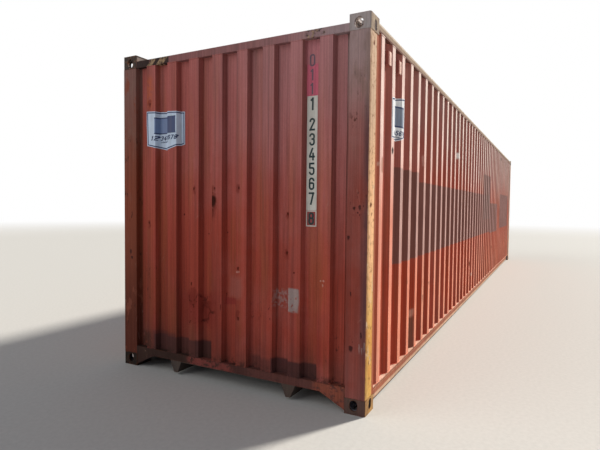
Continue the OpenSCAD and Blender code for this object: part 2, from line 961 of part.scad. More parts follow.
// Block on the door that holds a rod in a round hole
module rod_bracket(offset, height) {
    translate([0, offset, height - rod_bracket_height / 2])
    difference() {
        linear_extrude(rod_bracket_height) {
            translate([rod_x, 0]) circle(d = rod_size + 2 * hinge_plate);
            translate([rod_x, -rod_size / 2 - hinge_plate]) {
                square([door_face - rod_x, rod_size + 2 * hinge_plate]);
            }
            translate([door_face - hinge_plate / 2, -rod_bracket_width / 2]) {
                square([hinge_plate / 2, rod_bracket_width]);
            }
        }
        translate([rod_x, 0, -cut]) {
            cylinder(r = rod_size / 2 + running_gap, h = rod_bracket_height + 2 * cut);
        }
    }
}

// Shelf under a handle's free end, with a nose in front of the bar
module handle_catch(edge, height) {
    bar_x = rod_x - (rod_size + handle_thick) / 2;
    shelf_z = height - handle_bar / 2 - catch_plate;
    along_y(edge - catch_width, edge) {
        polygon([
            [door_face, shelf_z],
            [bar_x - catch_plate, shelf_z],
            [bar_x - catch_plate, height],
            [bar_x - running_gap, height],
            [bar_x - running_gap, shelf_z + catch_plate],
            [door_face, shelf_z + catch_plate]
        ]);
    }
}

module handle_catches(side) {
    color("dimgray")
    on_side(side) {
        handle_catch(inner_rod_offset + handle_length - catch_width, inner_handle_height);
        handle_catch(outer_rod_offset - handle_length + 2 * catch_width, outer_handle_height);
    }
}

// Brackets at both ends of a rod, under its handle and halfway above that
function bracket_heights(handle_height) =
    let (last = door_top - door_cross_rail)
    let (below = handle_height - handle_bracket_drop)
    [door_low + door_cross_rail, below, (below + last) / 2, last];

module rod_brackets(side) {
    color("dimgray")
    on_side(side) {
        for (height = bracket_heights(inner_handle_height)) rod_bracket(inner_rod_offset, height);
        for (height = bracket_heights(outer_handle_height)) rod_bracket(outer_rod_offset, height);
    }
}

// Back plate with two fingers, between which the rod end stands
module keeper(offset) {
    reach = door_frame_setback - rod_setback + rod_size / 2;
    jaw = rod_size / 2 + keeper_gap;
    translate([0, offset, 0])
    upright(-keeper_finger / 2, keeper_finger / 2) {
        difference() {
            translate([door_frame_rear - reach, -keeper_width / 2]) square([reach, keeper_width]);
            translate([rod_x, 0]) circle(jaw);
            translate([door_frame_rear - reach - cut, -jaw]) {
                square([rod_x - door_frame_rear + reach + cut, 2 * jaw]);
            }
        }
    }
}

module keepers(height) {
    color("dimgray")
    for (side = [-1, 1], offset = [inner_rod_offset, outer_rod_offset]) {
        translate([0, 0, height]) keeper(side * offset);
    }
}

// Small cowl over the air holes, fitted to the corrugation
module vents(side) {
    low = roof_rail_low - vent_drop - vent_height;
    filled = concat(side_wall_line, [[-rail_end, 0], [rail_end, 0]]);
    color("lightgray")
    on_side(side)
    difference() {
        for (i = [0, 1]) {
            valley_start = rail_end - side_first_flat - (i + 1) * side_pitch + side_valley;
            translate([valley_start - vent_width - vent_width / 2, side_valley_plane, low]) {
                cube([vent_width, box_width / 2 - vent_inset - side_valley_plane, vent_height]);
            }
        }
        upright(low - cut, low + vent_height + cut) polygon(filled);
    }
}

placed_casting(1, 1, 0);  // casting_front_left_bottom
placed_casting(1, -1, 0);  // casting_front_right_bottom
placed_casting(1, 1, 1);  // casting_front_left_top
placed_casting(1, -1, 1);  // casting_front_right_top
placed_casting(-1, 1, 0);  // casting_rear_left_bottom
placed_casting(-1, -1, 0);  // casting_rear_right_bottom
placed_casting(-1, 1, 1);  // casting_rear_left_top
placed_casting(-1, -1, 1);  // casting_rear_right_top
front_post(1);  // front_post_left
front_post(-1);  // front_post_right
rear_post(1);  // rear_post_left
rear_post(-1);  // rear_post_right
front_header();
front_sill();
door_header();
door_sill();
top_rail(1);  // top_rail_left
top_rail(-1);  // top_rail_right
bottom_rail(1);  // bottom_rail_left
bottom_rail(-1);  // bottom_rail_right
front_wall();
side_wall(1);  // side_wall_left
side_wall(-1);  // side_wall_right
roof();
roof_plate_front();
roof_plate_rear();
floor_boards();
floor_rail();
cross_members();
outriggers(1);  // outriggers_left
outriggers(-1);  // outriggers_right
tunnel_plate();
tunnel_beam(1);  // tunnel_beam_left
tunnel_beam(-1);  // tunnel_beam_right
tunnel_bows();
door(1);  // door_left
door(-1);  // door_right
gasket(1);  // gasket_left
gasket(-1);  // gasket_right
hinges(1);  // hinges_left
hinges(-1);  // hinges_right
lock_rods(1);  // lock_rods_left
lock_rods(-1);  // lock_rods_right
handles(1);  // handles_left
handles(-1);  // handles_right
handle_catches(1);  // handle_catches_left
handle_catches(-1);  // handle_catches_right
rod_brackets(1);  // rod_brackets_left
rod_brackets(-1);  // rod_brackets_right
keepers(keeper_top_height);  // keepers_top
keepers(keeper_bottom_height);  // keepers_bottom
vents(1);  // vents_left
vents(-1);  // vents_right
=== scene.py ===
import bpy
import bmesh
import json
import random
from functools import partial, reduce
from math import cos, radians, sin
from mathutils import Matrix, Vector


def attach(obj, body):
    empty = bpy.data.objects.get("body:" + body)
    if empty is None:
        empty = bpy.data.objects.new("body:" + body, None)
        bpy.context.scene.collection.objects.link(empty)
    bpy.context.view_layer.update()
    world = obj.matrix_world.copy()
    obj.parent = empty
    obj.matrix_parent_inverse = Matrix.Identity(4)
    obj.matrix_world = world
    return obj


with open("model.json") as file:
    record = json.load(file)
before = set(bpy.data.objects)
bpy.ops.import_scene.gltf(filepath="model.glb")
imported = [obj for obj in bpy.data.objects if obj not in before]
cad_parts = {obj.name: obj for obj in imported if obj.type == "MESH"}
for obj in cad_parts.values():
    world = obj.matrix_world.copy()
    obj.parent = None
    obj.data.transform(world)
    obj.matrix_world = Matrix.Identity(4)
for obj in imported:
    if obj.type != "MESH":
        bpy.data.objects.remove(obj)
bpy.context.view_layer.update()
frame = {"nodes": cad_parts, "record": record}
cadMiddle = 1.448  # half the height
print("frame loaded:", len(frame["nodes"]), "nodes")

# Camera at eye height off the front left corner
cameraView = {
    "place": (9.3192, 2.3863, 1.5257),
    "heading": 3.63013814,
    "pitch": -0.0401621,
    "roll": 0.0105903,
    "lens": 28.669,
    "sensor": 36,
    "clip": (0.05, 400),
}


def placeCamera(view):
    data = bpy.data.cameras.new("eyeLevel")
    data.lens = view["lens"]
    data.sensor_width = view["sensor"]
    data.clip_start, data.clip_end = view["clip"]
    heading, pitch = view["heading"], view["pitch"]
    ahead = Vector((cos(heading) * cos(pitch), sin(heading) * cos(pitch), sin(pitch)))
    right = ahead.cross(Vector((0, 0, 1))).normalized()
    up = right.cross(ahead)
    turnCos, turnSin = cos(view["roll"]), sin(view["roll"])
    axes = Matrix((right * turnCos + up * turnSin, up * turnCos - right * turnSin, -ahead)).transposed()
    cam = bpy.data.objects.new("eyeLevel", data)
    bpy.context.scene.collection.objects.link(cam)
    cam.matrix_world = Matrix.Translation(view["place"]) @ axes.to_4x4()
    bpy.context.scene.camera = cam


placeCamera(cameraView)
bpy.context.scene.view_settings.view_transform = "Standard"
print("camera placed")


# Helpers for shader nodes: a node joins the tree of the sockets fed to it
def feed(socket, value):
    if isinstance(value, bpy.types.NodeSocket):
        socket.id_data.links.new(value, socket)
    else:
        socket.default_value = (*value, 1.0) if socket.type == "RGBA" else value


def feedAll(node, links):
    for name, value in links.items():
        feed(node.inputs[name], value)


def newNode(kind, links=None, tree=None, **settings):
    links = links or {}
    tree = tree or next(value.id_data for value in links.values() if isinstance(value, bpy.types.NodeSocket))
    node = tree.nodes.new("ShaderNode" + kind)
    for name, value in settings.items():
        setattr(node, name, value)
    feedAll(node, links)
    return node


def maths(operation, first, second=0.0, clamp=False):
    return newNode("Math", {0: first, 1: second}, operation=operation, use_clamp=clamp).outputs[0]


plus, minus, times, divided = (partial(maths, name) for name in ("ADD", "SUBTRACT", "MULTIPLY", "DIVIDE"))
larger, smaller, absolute = (partial(maths, name) for name in ("MAXIMUM", "MINIMUM", "ABSOLUTE"))
above, below = (partial(maths, name) for name in ("GREATER_THAN", "LESS_THAN"))


def vectorMaths(operation, first, second):
    links = {0: first, "Scale" if operation == "SCALE" else 1: second}
    return newNode("VectorMath", links, operation=operation).outputs[0]


stretched = partial(vectorMaths, "MULTIPLY")


# Smooth step from toLow at low to toHigh at high
def ramp(value, low, high, toLow=0.0, toHigh=1.0):
    links = {0: value, 1: low, 2: high, 3: toLow, 4: toHigh}
    return newNode("MapRange", links, interpolation_type="SMOOTHSTEP").outputs[0]


def mix(amount, first, second, blend="MIX"):
    links = {0: amount, 6: first, 7: second}
    return newNode("Mix", links, data_type="RGBA", blend_type=blend).outputs[2]


def noise(place, size, detail, rough, output=0):
    links = {"Vector": place, "Scale": size, "Detail": detail, "Roughness": rough}
    return newNode("TexNoise", links).outputs[output]


def voronoi(place, size, feature="F1"):
    return newNode("TexVoronoi", {"Vector": place, "Scale": size}, feature=feature).outputs


# Place that noise has shaken, for ragged outlines
def shaken(place, size, detail, rough, reach):
    shift = vectorMaths("SUBTRACT", noise(place, size, detail, rough, 1), (0.5, 0.5, 0.5))
    return vectorMaths("ADD", place, vectorMaths("SCALE", shift, reach))


def splitAxes(place):
    return newNode("SeparateXYZ", {0: place}).outputs


def greyOf(value):
    return newNode("CombineColor", {0: value, 1: value, 2: value}).outputs[0]


def bumped(height, distance):
    return newNode("Bump", {"Height": height, "Distance": distance}).outputs[0]


groups = {}


def newGroup(name, inputs, outputs):
    kinds = {float: "NodeSocketFloat", 3: "NodeSocketVector", 4: "NodeSocketColor"}
    tree = groups[name] = bpy.data.node_groups.new(name, "ShaderNodeTree")
    for socketName, value in {"Place": (0.0, 0.0, 0.0), **inputs}.items():
        kind = kinds[float if isinstance(value, float) else len(value)]
        socket = tree.interface.new_socket(name=socketName, in_out="INPUT", socket_type=kind)
        socket.default_value = value
    for socketName, kind in outputs.items():
        tree.interface.new_socket(name=socketName, in_out="OUTPUT", socket_type=kinds[kind])
    return tree.nodes.new("NodeGroupInput").outputs, tree.nodes.new("NodeGroupOutput").inputs


def placeGroup(name, place, **links):
    return newNode("Group", {"Place": place, **links}, node_tree=groups[name]).outputs


# Broad clouds, upright streaks and threads, fine grain and slow dents in rolled sheet
def makeWeathering():
    given, made = newGroup(
        "weathering",
        {"CloudSize": 0.9, "StreakWidth": 16.0},
        {"Clouds": float, "Streaks": float, "Threads": float, "Grain": float, "Dents": float},
    )
    place = given["Place"]
    feed(made["Clouds"], ramp(noise(place, given["CloudSize"], 6.0, 0.62), 0.36, 0.66))
    streaks = noise(stretched(place, (1.0, 1.0, 0.03)), given["StreakWidth"], 4.0, 0.6)
    feed(made["Streaks"], ramp(streaks, 0.42, 0.72))
    threads = noise(stretched(place, (1.0, 1.0, 0.014)), 62.0, 3.0, 0.7)
    feed(made["Threads"], ramp(threads, 0.34, 0.66))
    feed(made["Grain"], noise(place, 140.0, 3.0, 0.7))
    ripples = noise(stretched(place, (1.0, 1.0, 0.25)), 9.0, 1.0, 0.4)
    feed(made["Dents"], plus(noise(place, 2.1, 1.5, 0.4), times(ripples, 0.18)))


# Scattered rust spots with tails that run down, and their two-tone colour
def makeRustSpots():
    given, made = newGroup(
        "rustSpots", {"SpotsPerMetre": 7.0, "Cover": 0.2, "Run": 0.5}, {"Mask": float, "Tone": 4}
    )
    place = given["Place"]
    moved = shaken(place, 38.0, 3.0, 0.5, 0.03)

    def spotLayer(where, threshold, reach):
        cells = voronoi(where, given["SpotsPerMetre"])
        parts = newNode("SeparateColor", {0: cells["Color"]}).outputs
        size = times(parts[1], reach)
        return times(ramp(cells["Distance"], size, times(size, 0.35)), below(parts[0], threshold))

    spots = spotLayer(moved, given["Cover"], 0.3)
    tails = spotLayer(stretched(moved, (1.0, 1.0, 0.14)), times(given["Cover"], 0.7), 0.16)
    rim = minus(0.80, times(given["Cover"], 0.32))
    bloom = ramp(noise(place, 3.4, 9.0, 0.68), rim, plus(rim, 0.06))
    feed(made["Mask"], larger(larger(spots, times(tails, given["Run"])), bloom))
    tone = ramp(noise(place, 46.0, 5.0, 0.7), 0.35, 0.68)
    feed(made["Tone"], mix(tone, (0.045, 0.012, 0.008), (0.24, 0.078, 0.028)))


# Thin slanting scratches in bundles
def makeScratches():
    given, made = newGroup("scratches", {"Amount": 0.5}, {"Mask": float})
    place = given["Place"]
    slant = {"Vector": place, "Rotation": (0.35, 0.2, 0.15), "Scale": (6.0, 6.0, 0.35)}
    cells = voronoi(newNode("Mapping", slant).outputs[0], 7.0, "DISTANCE_TO_EDGE")
    bundles = ramp(noise(place, 2.3, 4.0, 0.6), 0.56, 0.66)
    mask = times(ramp(cells["Distance"], 0.018, 0.004), bundles)
    feed(made["Mask"], times(mask, given["Amount"]))


# Box of paint between two corners with a ragged, soft rim
def makePaintPatch():
    none, full = (0.0, 0.0, 0.0), (1.0, 1.0, 1.0)
    inputs = {"Low": none, "High": full, "Rim": (0.01, 0.01, 0.01), "Ragged": 0.01}
    given, made = newGroup("paintPatch", inputs, {"Mask": float})
    place = shaken(given["Place"], 9.0, 6.0, 0.5, given["Ragged"])

    def edge(corner, start, stop):
        ends = [vectorMaths(operation, corner, given["Rim"]) for operation in (start, stop)]
        links = {6: place, 7: ends[0], 8: ends[1], 9: none, 10: full}
        kind = {"data_type": "FLOAT_VECTOR", "interpolation_type": "SMOOTHSTEP"}
        return newNode("MapRange", links, **kind).outputs[1]

    both = stretched(edge(given["Low"], "SUBTRACT", "ADD"), edge(given["High"], "ADD", "SUBTRACT"))
    x, y, z = splitAxes(both)
    feed(made["Mask"], times(x, times(y, z)))


# Paint rubbed off along the edges, found from a rounded normal
def makeEdgeWear():
    given, made = newGroup("edgeWear", {"Reach": 0.006, "Amount": 0.5}, {"Mask": float})
    rounded = newNode("Bevel", {"Radius": given["Reach"]}, samples=4)
    flat = newNode("NewGeometry", tree=given["Place"].id_data)
    links = {0: rounded.outputs[0], 1: flat.outputs["Normal"]}
    facing = newNode("VectorMath", links, operation="DOT_PRODUCT").outputs["Value"]
    broken = ramp(noise(given["Place"], 24.0, 6.0, 0.7), 0.62, 0.42)
    mask = times(ramp(facing, 0.985, 0.86), broken)
    feed(made["Mask"], times(mask, given["Amount"], clamp=True))


for makeGroup in (makeWeathering, makeRustSpots, makeScratches, makePaintPatch, makeEdgeWear):
    makeGroup()
print("shader groups made")


def startMaterial(name):
    material = bpy.data.materials.new(name)
    material.use_nodes = True
    tree = material.node_tree
    place = newNode("TexCoord", tree=tree).outputs["Object"]
    return material, place, tree.nodes["Principled BSDF"]


# Where the frame's faces lie, in metres. A pair runs across the edge of a face
frontSpan = (6.0, 6.2)  # x of the front end's outer faces
faces = {
    "postSide": (1.2150, 1.2158),
    "castingSide": (1.2170, 1.2185),
    "wallRidges": (1.2115, 1.2135),
    "ventFront": (1.2085, 1.2112),
    "postBack": 5.9195,
    "railEnd": 5.9185,
    "halfHeight": 1.4,
    "castingHollow": ((6.086, 6.080), (1.209, 1.203), (1.438, 1.432)),
}


# Masks and marks. A corner of two numbers is a (y, z) on the front end
def patchMask(place, low, high, rim=0.006, ragged=0.006):
    if len(low) == 2:
        low, high = (frontSpan[0], *low), (frontSpan[1], *high)
    return placeGroup("paintPatch", place, Low=low, High=high, Rim=(rim, rim, rim), Ragged=ragged)["Mask"]


# Patches as (low, high, tone, rim, ragged, strength, worn), where paint with worn 0 holds
def paintPatches(place, colour, patches):
    for low, high, tone, rim, ragged, strength, worn in patches:
        mask = times(patchMask(place, low, high, rim, ragged), strength)
        if worn:
            mask = times(mask, ramp(noise(place, 26.0, 6.0, 0.7), worn, worn - 0.12))
        colour = mix(mask, colour, tone)
    return colour


def raggedAxes(place, reach=0.014, size=60.0):
    return splitAxes(shaken(place, size, 4.0, 0.7, reach))


# Spots as (y or x, z, size, tail), round above and drawn out below by the tail
def spotMask(axes, spot, cross):
    side, height, size, tail = spot
    across = absolute(minus(axes[cross], side))
    drop = minus(height, axes[2])
    upright = plus(divided(larger(drop, 0.0), 1.0 + tail / size), smaller(drop, 0.0))
    square = plus(maths("POWER", across, 2.0), maths("POWER", upright, 2.0))
    return ramp(maths("SQRT", square), size, size * 0.45)


def spotMarks(axes, colour, spots, tone, strength, cross=1):
    mask = reduce(larger, [spotMask(axes, spot, cross) for spot in spots])
    return mix(times(mask, strength), colour, tone)


# Scuffs as (low, high, tone, size, blots, crack): dark scribbles, with cracked paint where crack isn't 0
def scuffMarks(place, colour, scuffs):
    for low, high, tone, size, blots, crack in scuffs:
        mask = ramp(noise(stretched(place, (1.0, 1.0, 0.45)), size, 7.0, 0.7), blots, blots + 0.05)
        if crack:
            bent = newNode("CombineXYZ", dict(enumerate(raggedAxes(place, 0.10, 11.0)[:3]))).outputs[0]
            cells = voronoi(stretched(bent, (1.0, 1.0, 0.55)), crack, "DISTANCE_TO_EDGE")
            line = ramp(cells["Distance"], 0.011 * crack, 0.003 * crack)
            broken = ramp(noise(place, 8.0, 5.0, 0.65), 0.47, 0.54)
            mask = larger(mask, times(line, broken))
        colour = mix(times(patchMask(place, low, high, 0.05, 0.12), mask), colour, tone)
    return colour


# What each look holds unless it says otherwise
plainLook = {
    "fade": 0.6,
    "fadeHeights": None,
    "fadeLift": 0.5,
    "warm": 0.0,
    "warmTone": (0.30, 0.085, 0.038),
    "streaks": 0.3,
    "streakTone": (0.10, 0.03, 0.025),
    "grime": 0.0,
    "grimeHeights": (0.12, 0.75),
    "grimeTone": (0.055, 0.028, 0.022),
    "threadTones": (0.88, 1.084),
    "scratches": 0.35,
    "scratchTone": (0.33, 0.17, 0.14),
    "rust": 0.15,
    "spotsPerMetre": 7.0,
    "run": 0.5,
    "edge": 0.0,
    "edgeReach": 0.006,
    "rough": 0.55,
    "dents": 0.004,
    "pits": 0.00006,
    "rustDepth": 0.0006,
    "gloss": 0.3,
    "sheen": 0.10,
    "sheenTone": (1.0, 0.82, 0.76),
}


# Weathered paint on steel: every painted node and piece takes its own values
def paintedSteel(name, look, marks=None):
    material, place, shader = startMaterial(name)
    axes = splitAxes(place)
    weather = placeGroup("weathering", place)
    spotLinks = {"SpotsPerMetre": look["spotsPerMetre"], "Cover": look["rust"], "Run": look["run"]}
    rust = placeGroup("rustSpots", place, **spotLinks)
    fade = times(weather["Clouds"], look["fade"])
    if look["fadeHeights"]:  # chalkier towards the top
        fade = plus(fade, ramp(axes[2], *look["fadeHeights"], 0.0, look["fadeLift"]), clamp=True)
    colour = mix(fade, look["base"], look["faded"])
    if look["warm"]:  # browner runs that the rain left
        runs = ramp(noise(stretched(place, (1.0, 1.0, 0.12)), 5.5, 5.0, 0.62), 0.46, 0.64)
        colour = mix(times(runs, look["warm"]), colour, look["warmTone"])
    colour = mix(times(weather["Streaks"], look["streaks"]), colour, look["streakTone"])
    if marks:
        colour = marks(place, axes, colour, weather)
    if look["grime"]:  # splashed dirt near the ground, on the front wall also painted shade
        patchy = ramp(noise(place, 5.0, 6.0, 0.6), 0.25, 0.75, 0.35, 1.0)
        dirt = times(ramp(axes[2], *reversed(look["grimeHeights"])), patchy)
        colour = mix(times(dirt, look["grime"]), colour, look["grimeTone"])
    grain = ramp(weather["Grain"], 0.3, 0.7, 0.90, 1.08)
    grain = times(grain, ramp(weather["Threads"], 0.0, 1.0, *look["threadTones"]))
    colour = mix(1.0, colour, greyOf(grain), "MULTIPLY")
    scratched = placeGroup("scratches", place, Amount=look["scratches"])["Mask"]
    colour = mix(scratched, colour, look["scratchTone"])
    rusty = rust["Mask"]
    if look["edge"]:
        worn = placeGroup("edgeWear", place, Reach=look["edgeReach"], Amount=look["edge"])
        rusty = larger(rusty, worn["Mask"])
    dull = ramp(weather["Clouds"], 0.0, 1.0, look["rough"], look["rough"] + 0.14)
    height = plus(times(weather["Dents"], look["dents"]), times(weather["Grain"], look["pits"]))
    values = {
        "Base Color": mix(rusty, colour, rust["Tone"]),
        "Roughness": plus(dull, times(rusty, 0.3), clamp=True),
        "Normal": bumped(minus(height, times(rusty, look["rustDepth"])), 1.0),
        "Specular IOR Level": look["gloss"],
        "Sheen Weight": look["sheen"],
        "Sheen Roughness": 0.45,
        "Sheen Tint": look["sheenTone"],
    }
    feedAll(shader, values)
    return material


finishes = {}

# Front wall: oxide red in shade, chalky above with some painted sky light, darker near the ground from dirt
# and painted shade, dark repairs along the sill
frontLook = {
    **plainLook,
    "base": (0.345, 0.058, 0.038),
    "faded": (0.41, 0.142, 0.134),
    "fade": 0.5,
    "fadeHeights": (0.9, 2.9),
    "fadeLift": 0.42,
    "gloss": 0.03,
    "sheen": 0.0,
    "warm": 0.5,
    "streaks": 0.45,
    "rust": 0.10,
    "spotsPerMetre": 5.0,
    "grime": 0.55,
    "grimeHeights": (0.16, 0.6),
    "scratches": 0.30,
    "dents": 0.006,
}
frontPatches = [
    ((-0.84, 0.05), (-0.215, 0.335), (0.085, 0.034, 0.032), 0.010, 0.006, 0.8, 0.80),
    ((-0.86, 0.05), (-0.58, 0.365), (0.080, 0.032, 0.032), 0.016, 0.006, 0.5, 0),
    ((-0.36, 0.05), (-0.215, 0.345), (0.055, 0.022, 0.022), 0.010, 0.006, 0.6, 0),
    ((-1.03, 0.10), (1.03, 0.225), (0.050, 0.022, 0.017), 0.030, 0.05, 0.8, 0.56),
    ((-1.05, 0.18), (-0.87, 0.34), (0.058, 0.028, 0.020), 0.030, 0.06, 0.7, 0.64),
    ((0.20, 0.05), (0.42, 0.290), (0.085, 0.034, 0.031), 0.022, 0.03, 0.6, 0),
    ((0.415, 0.05), (0.825, 0.308), (0.056, 0.026, 0.028), 0.012, 0.006, 0.85, 0),
    ((0.56, 0.70), (0.664, 0.885), (0.31, 0.27, 0.26), 0.010, 0.03, 0.8, 0.66),
    ((0.43, 0.72), (0.54, 0.86), (0.29, 0.22, 0.21), 0.02, 0.006, 0.6, 0.56),
    ((-0.50, 0.48), (-0.12, 0.76), (0.21, 0.028, 0.022), 0.06, 0.16, 0.55, 0),
    ((-0.02, 0.750), (0.14, 0.93), (0.36, 0.14, 0.12), 0.03, 0.05, 0.35, 0),
    ((-0.06, 0.690), (0.07, 0.745), (0.23, 0.030, 0.028), 0.010, 0.03, 0.6, 0),
    ((-0.94, 2.40), (-0.86, 2.68), (0.46, 0.105, 0.042), 0.03, 0.10, 0.55, 0.62),
    ((0.60, 0.33), (0.92, 0.72), (0.24, 0.034, 0.026), 0.04, 0.05, 0.3, 0),
    ((0.695, 2.36), (0.79, 2.60), (0.56, 0.115, 0.185), 0.004, 0.006, 0.8, 0.80),
    ((0.69, 2.60), (0.80, 2.83), (0.46, 0.165, 0.195), 0.01, 0.006, 0.6, 0.70),
]
# Scraped places: dark scribbles through the paint
frontScuffs = [
    ((-0.47, 0.44), (-0.28, 0.73), (0.048, 0.010, 0.007), 40.0, 0.64, 9.0),
    ((-0.28, 0.50), (-0.14, 0.74), (0.060, 0.012, 0.009), 30.0, 0.64, 9.0),
    ((-0.98, 0.55), (-0.80, 0.95), (0.060, 0.018, 0.014), 34.0, 0.60, 0),
    ((0.20, 0.60), (0.45, 0.76), (0.060, 0.020, 0.018), 34.0, 0.60, 0),
    ((0.90, 0.34), (1.02, 0.56), (0.060, 0.018, 0.013), 34.0, 0.60, 0),
]
# Single rust spots as (y, z, size, tail), and the redder stains round and under them
frontHole = (-0.166, 1.572, 0.044, 0.046)
frontSpots = [
    (-0.166, 1.490, 0.007, 0.090),
    (-0.050, 0.780, 0.006, 0.050),
    (-0.083, 0.681, 0.007, 0.060),
    (-0.182, 0.700, 0.006, 0.110),
    (-0.373, 1.668, 0.012, 0.010),
    (-0.185, 1.668, 0.012, 0.008),
    (-0.150, 1.668, 0.011, 0.006),
    (-0.172, 1.628, 0.007, 0.0),
    (0.060, 1.668, 0.009, 0.006),
    (0.100, 1.670, 0.012, 0.010),
    (-0.888, 2.437, 0.011, 0.030),
    (-0.181, 2.640, 0.0065, 0.150),
    (0.062, 2.600, 0.004, 0.110),
    (0.095, 1.007, 0.014, 0.015),
    (0.537, 1.465, 0.011, 0.015),
    (0.533, 1.156, 0.013, 0.012),
    (0.622, 1.006, 0.010, 0.0),
    (-0.244, 1.277, 0.009, 0.004),
    (-0.190, 1.335, 0.007, 0.020),
    (-0.045, 1.295, 0.009, 0.0),
    (-0.520, 1.440, 0.010, 0.006),
    (-0.900, 1.360, 0.012, 0.010),
    (-0.955, 1.675, 0.010, 0.020),
    (0.300, 0.640, 0.012, 0.050),
    (-0.400, 0.840, 0.012, 0.020),
    (0.100, 0.590, 0.016, 0.010),
]
frontStains = [
    (-0.166, 1.600, 0.050, 0.200),
    (-0.168, 1.668, 0.036, 0.010),
    (-0.373, 1.668, 0.022, 0.040),
    (0.080, 1.668, 0.036, 0.020),
    (-0.888, 2.450, 0.030, 0.060),
    (-0.200, 1.350, 0.018, 0.180),
    (0.537, 1.465, 0.022, 0.050),
    (0.533, 1.156, 0.026, 0.030),
    (-0.385, 0.760, 0.060, 0.120),
    (-0.260, 0.640, 0.070, 0.080),
    (0.090, 0.640, 0.030, 0.060),
    (-0.900, 1.360, 0.024, 0.060),
]
# Pale nicks of the same kind
frontNicks = [
    (0.085, 0.973, 0.011, 0.0),
    (0.105, 0.975, 0.010, 0.0),
    (0.850, 0.962, 0.010, 0.0),
    (0.875, 0.964, 0.011, 0.0),
    (0.868, 0.935, 0.006, 0.020),
]


# Painted sky reflection, a dull greyish bloom towards the top and the left side, and painted shade towards
# the other corner
def frontPaintedSkyAndShade(axes, colour):
    upper = ramp(axes[2], 1.3, 2.85)
    right = ramp(axes[1], -1.3, 1.3)
    bloom = times(upper, times(right, 0.55))
    colour = mix(bloom, colour, (0.385, 0.240, 0.268))
    corner = times(ramp(axes[2], 1.7, 0.2), ramp(axes[1], 0.9, -1.0))
    return mix(times(corner, 0.34), colour, (0.075, 0.020, 0.014))


# Painted shade on the slopes on one hand of each ridge: where it lies in a pitch, and how it gains with the
# height
slopeShade = {"pitch": 0.25, "middle": 0.745, "rim": (0.042, 0.036), "gain": (0.9, 1.7, 0.0, 0.36)}


def slopePaintedShade(axes, colour):
    across = maths("FRACT", divided(axes[1], slopeShade["pitch"]))
    slope = ramp(absolute(minus(across, slopeShade["middle"])), *slopeShade["rim"])
    return mix(times(slope, ramp(axes[2], *slopeShade["gain"])), colour, (0.12, 0.014, 0.008))


def frontMarks(place, axes, colour, weather):
    colour = slopePaintedShade(axes, frontPaintedSkyAndShade(axes, colour))
    colour = paintPatches(place, colour, frontPatches)
    colour = scuffMarks(place, colour, frontScuffs)
    colour = spotMarks(raggedAxes(place, 0.09, 13.0), colour, frontStains, (0.17, 0.026, 0.018), 0.6)
    colour = spotMarks(raggedAxes(place), colour, frontNicks, (0.50, 0.31, 0.26), 0.55)
    colour = spotMarks(raggedAxes(place), colour, frontSpots, (0.062, 0.010, 0.006), 0.82)
    return spotMarks(raggedAxes(place), colour, [frontHole], (0.032, 0.006, 0.003), 0.98)


finishes["front_paint"] = paintedSteel("frontPaint", frontLook, frontMarks)

# Side walls: ridges paler from sun bleach and a painted sunlit highlight, darker overpaint in a long band
sideLook = {
    **plainLook,
    "base": (0.42, 0.052, 0.021),
    "faded": (0.36, 0.170, 0.152),
    "fade": 0.30,
    "fadeHeights": (1.3, 2.9),
    "fadeLift": 0.68,
    "warm": 0.3,
    "gloss": 0.06,
    "streaks": 0.22,
    "rust": 0.08,
    "spotsPerMetre": 3.0,
    "grime": 0.12,
    "grimeHeights": (0.16, 0.5),
    "scratches": 0.25,
    "dents": 0.008,
    "sheen": 0.01,
}
sideBands = [
    ((4.62, -2, 1.035), (5.425, 2, 1.86), (0.170, 0.072, 0.058)),
    ((-1.25, -2, 1.035), (4.62, 2, 1.775), (0.190, 0.086, 0.071)),
    ((-1.25, -2, 1.3), (-0.25, 2, 2.16), (0.19, 0.095, 0.083)),
    ((-2.6, -2, 1.0), (-1.25, 2, 1.62), (0.185, 0.082, 0.070)),
    ((-5.3, -2, 1.03), (-3.2, 2, 1.86), (0.180, 0.078, 0.068)),
]
# Knocks on the left side as (x, z, size, tail), and scraped boxes; the first box is painted light on the
# slope and valley beside the post
sideSpots = [
    (5.526, 1.985, 0.032, 0.010),
    (2.380, 2.235, 0.024, 0.020),
    (4.140, 0.716, 0.016, 0.020),
    (4.414, 0.620, 0.012, 0.090),
]
sideScrapesAndPaintedLight = [
    # painted light: paler slope and valley beside the post, where shade falls
    ((5.84, 1.12, 0.1), (5.93, 1.2125, 2.85), (0.58, 0.15, 0.085), 0.010, 0.006, 0.6, 0),
    ((4.74, 1.15, 0.47), (4.92, 1.3, 0.54), (0.60, 0.30, 0.22), 0.016, 0.05, 0.7, 0),
    ((4.73, 1.15, 0.12), (4.93, 1.3, 0.47), (0.20, 0.080, 0.052), 0.016, 0.05, 0.8, 0),
    ((5.80, 1.12, 1.835), (5.90, 1.3, 1.862), (0.70, 0.42, 0.33), 0.010, 0.06, 0.6, 0),
    ((5.745, 1.16, 1.79), (5.80, 1.3, 1.90), (0.30, 0.10, 0.06), 0.014, 0.03, 0.6, 0),
    ((1.05, 1.19, 0.41), (1.13, 1.3, 0.46), (0.72, 0.52, 0.42), 0.012, 0.006, 0.7, 0),
    ((4.44, 1.17, 1.93), (4.49, 1.3, 2.05), (0.62, 0.32, 0.27), 0.016, 0.07, 0.55, 0),
    ((2.40, 1.16, 2.19), (2.58, 1.3, 2.27), (0.90, 0.84, 0.80), 0.020, 0.05, 0.9, 0),
    ((2.44, 1.16, 2.27), (2.50, 1.3, 2.42), (0.80, 0.62, 0.55), 0.020, 0.04, 0.6, 0),
]


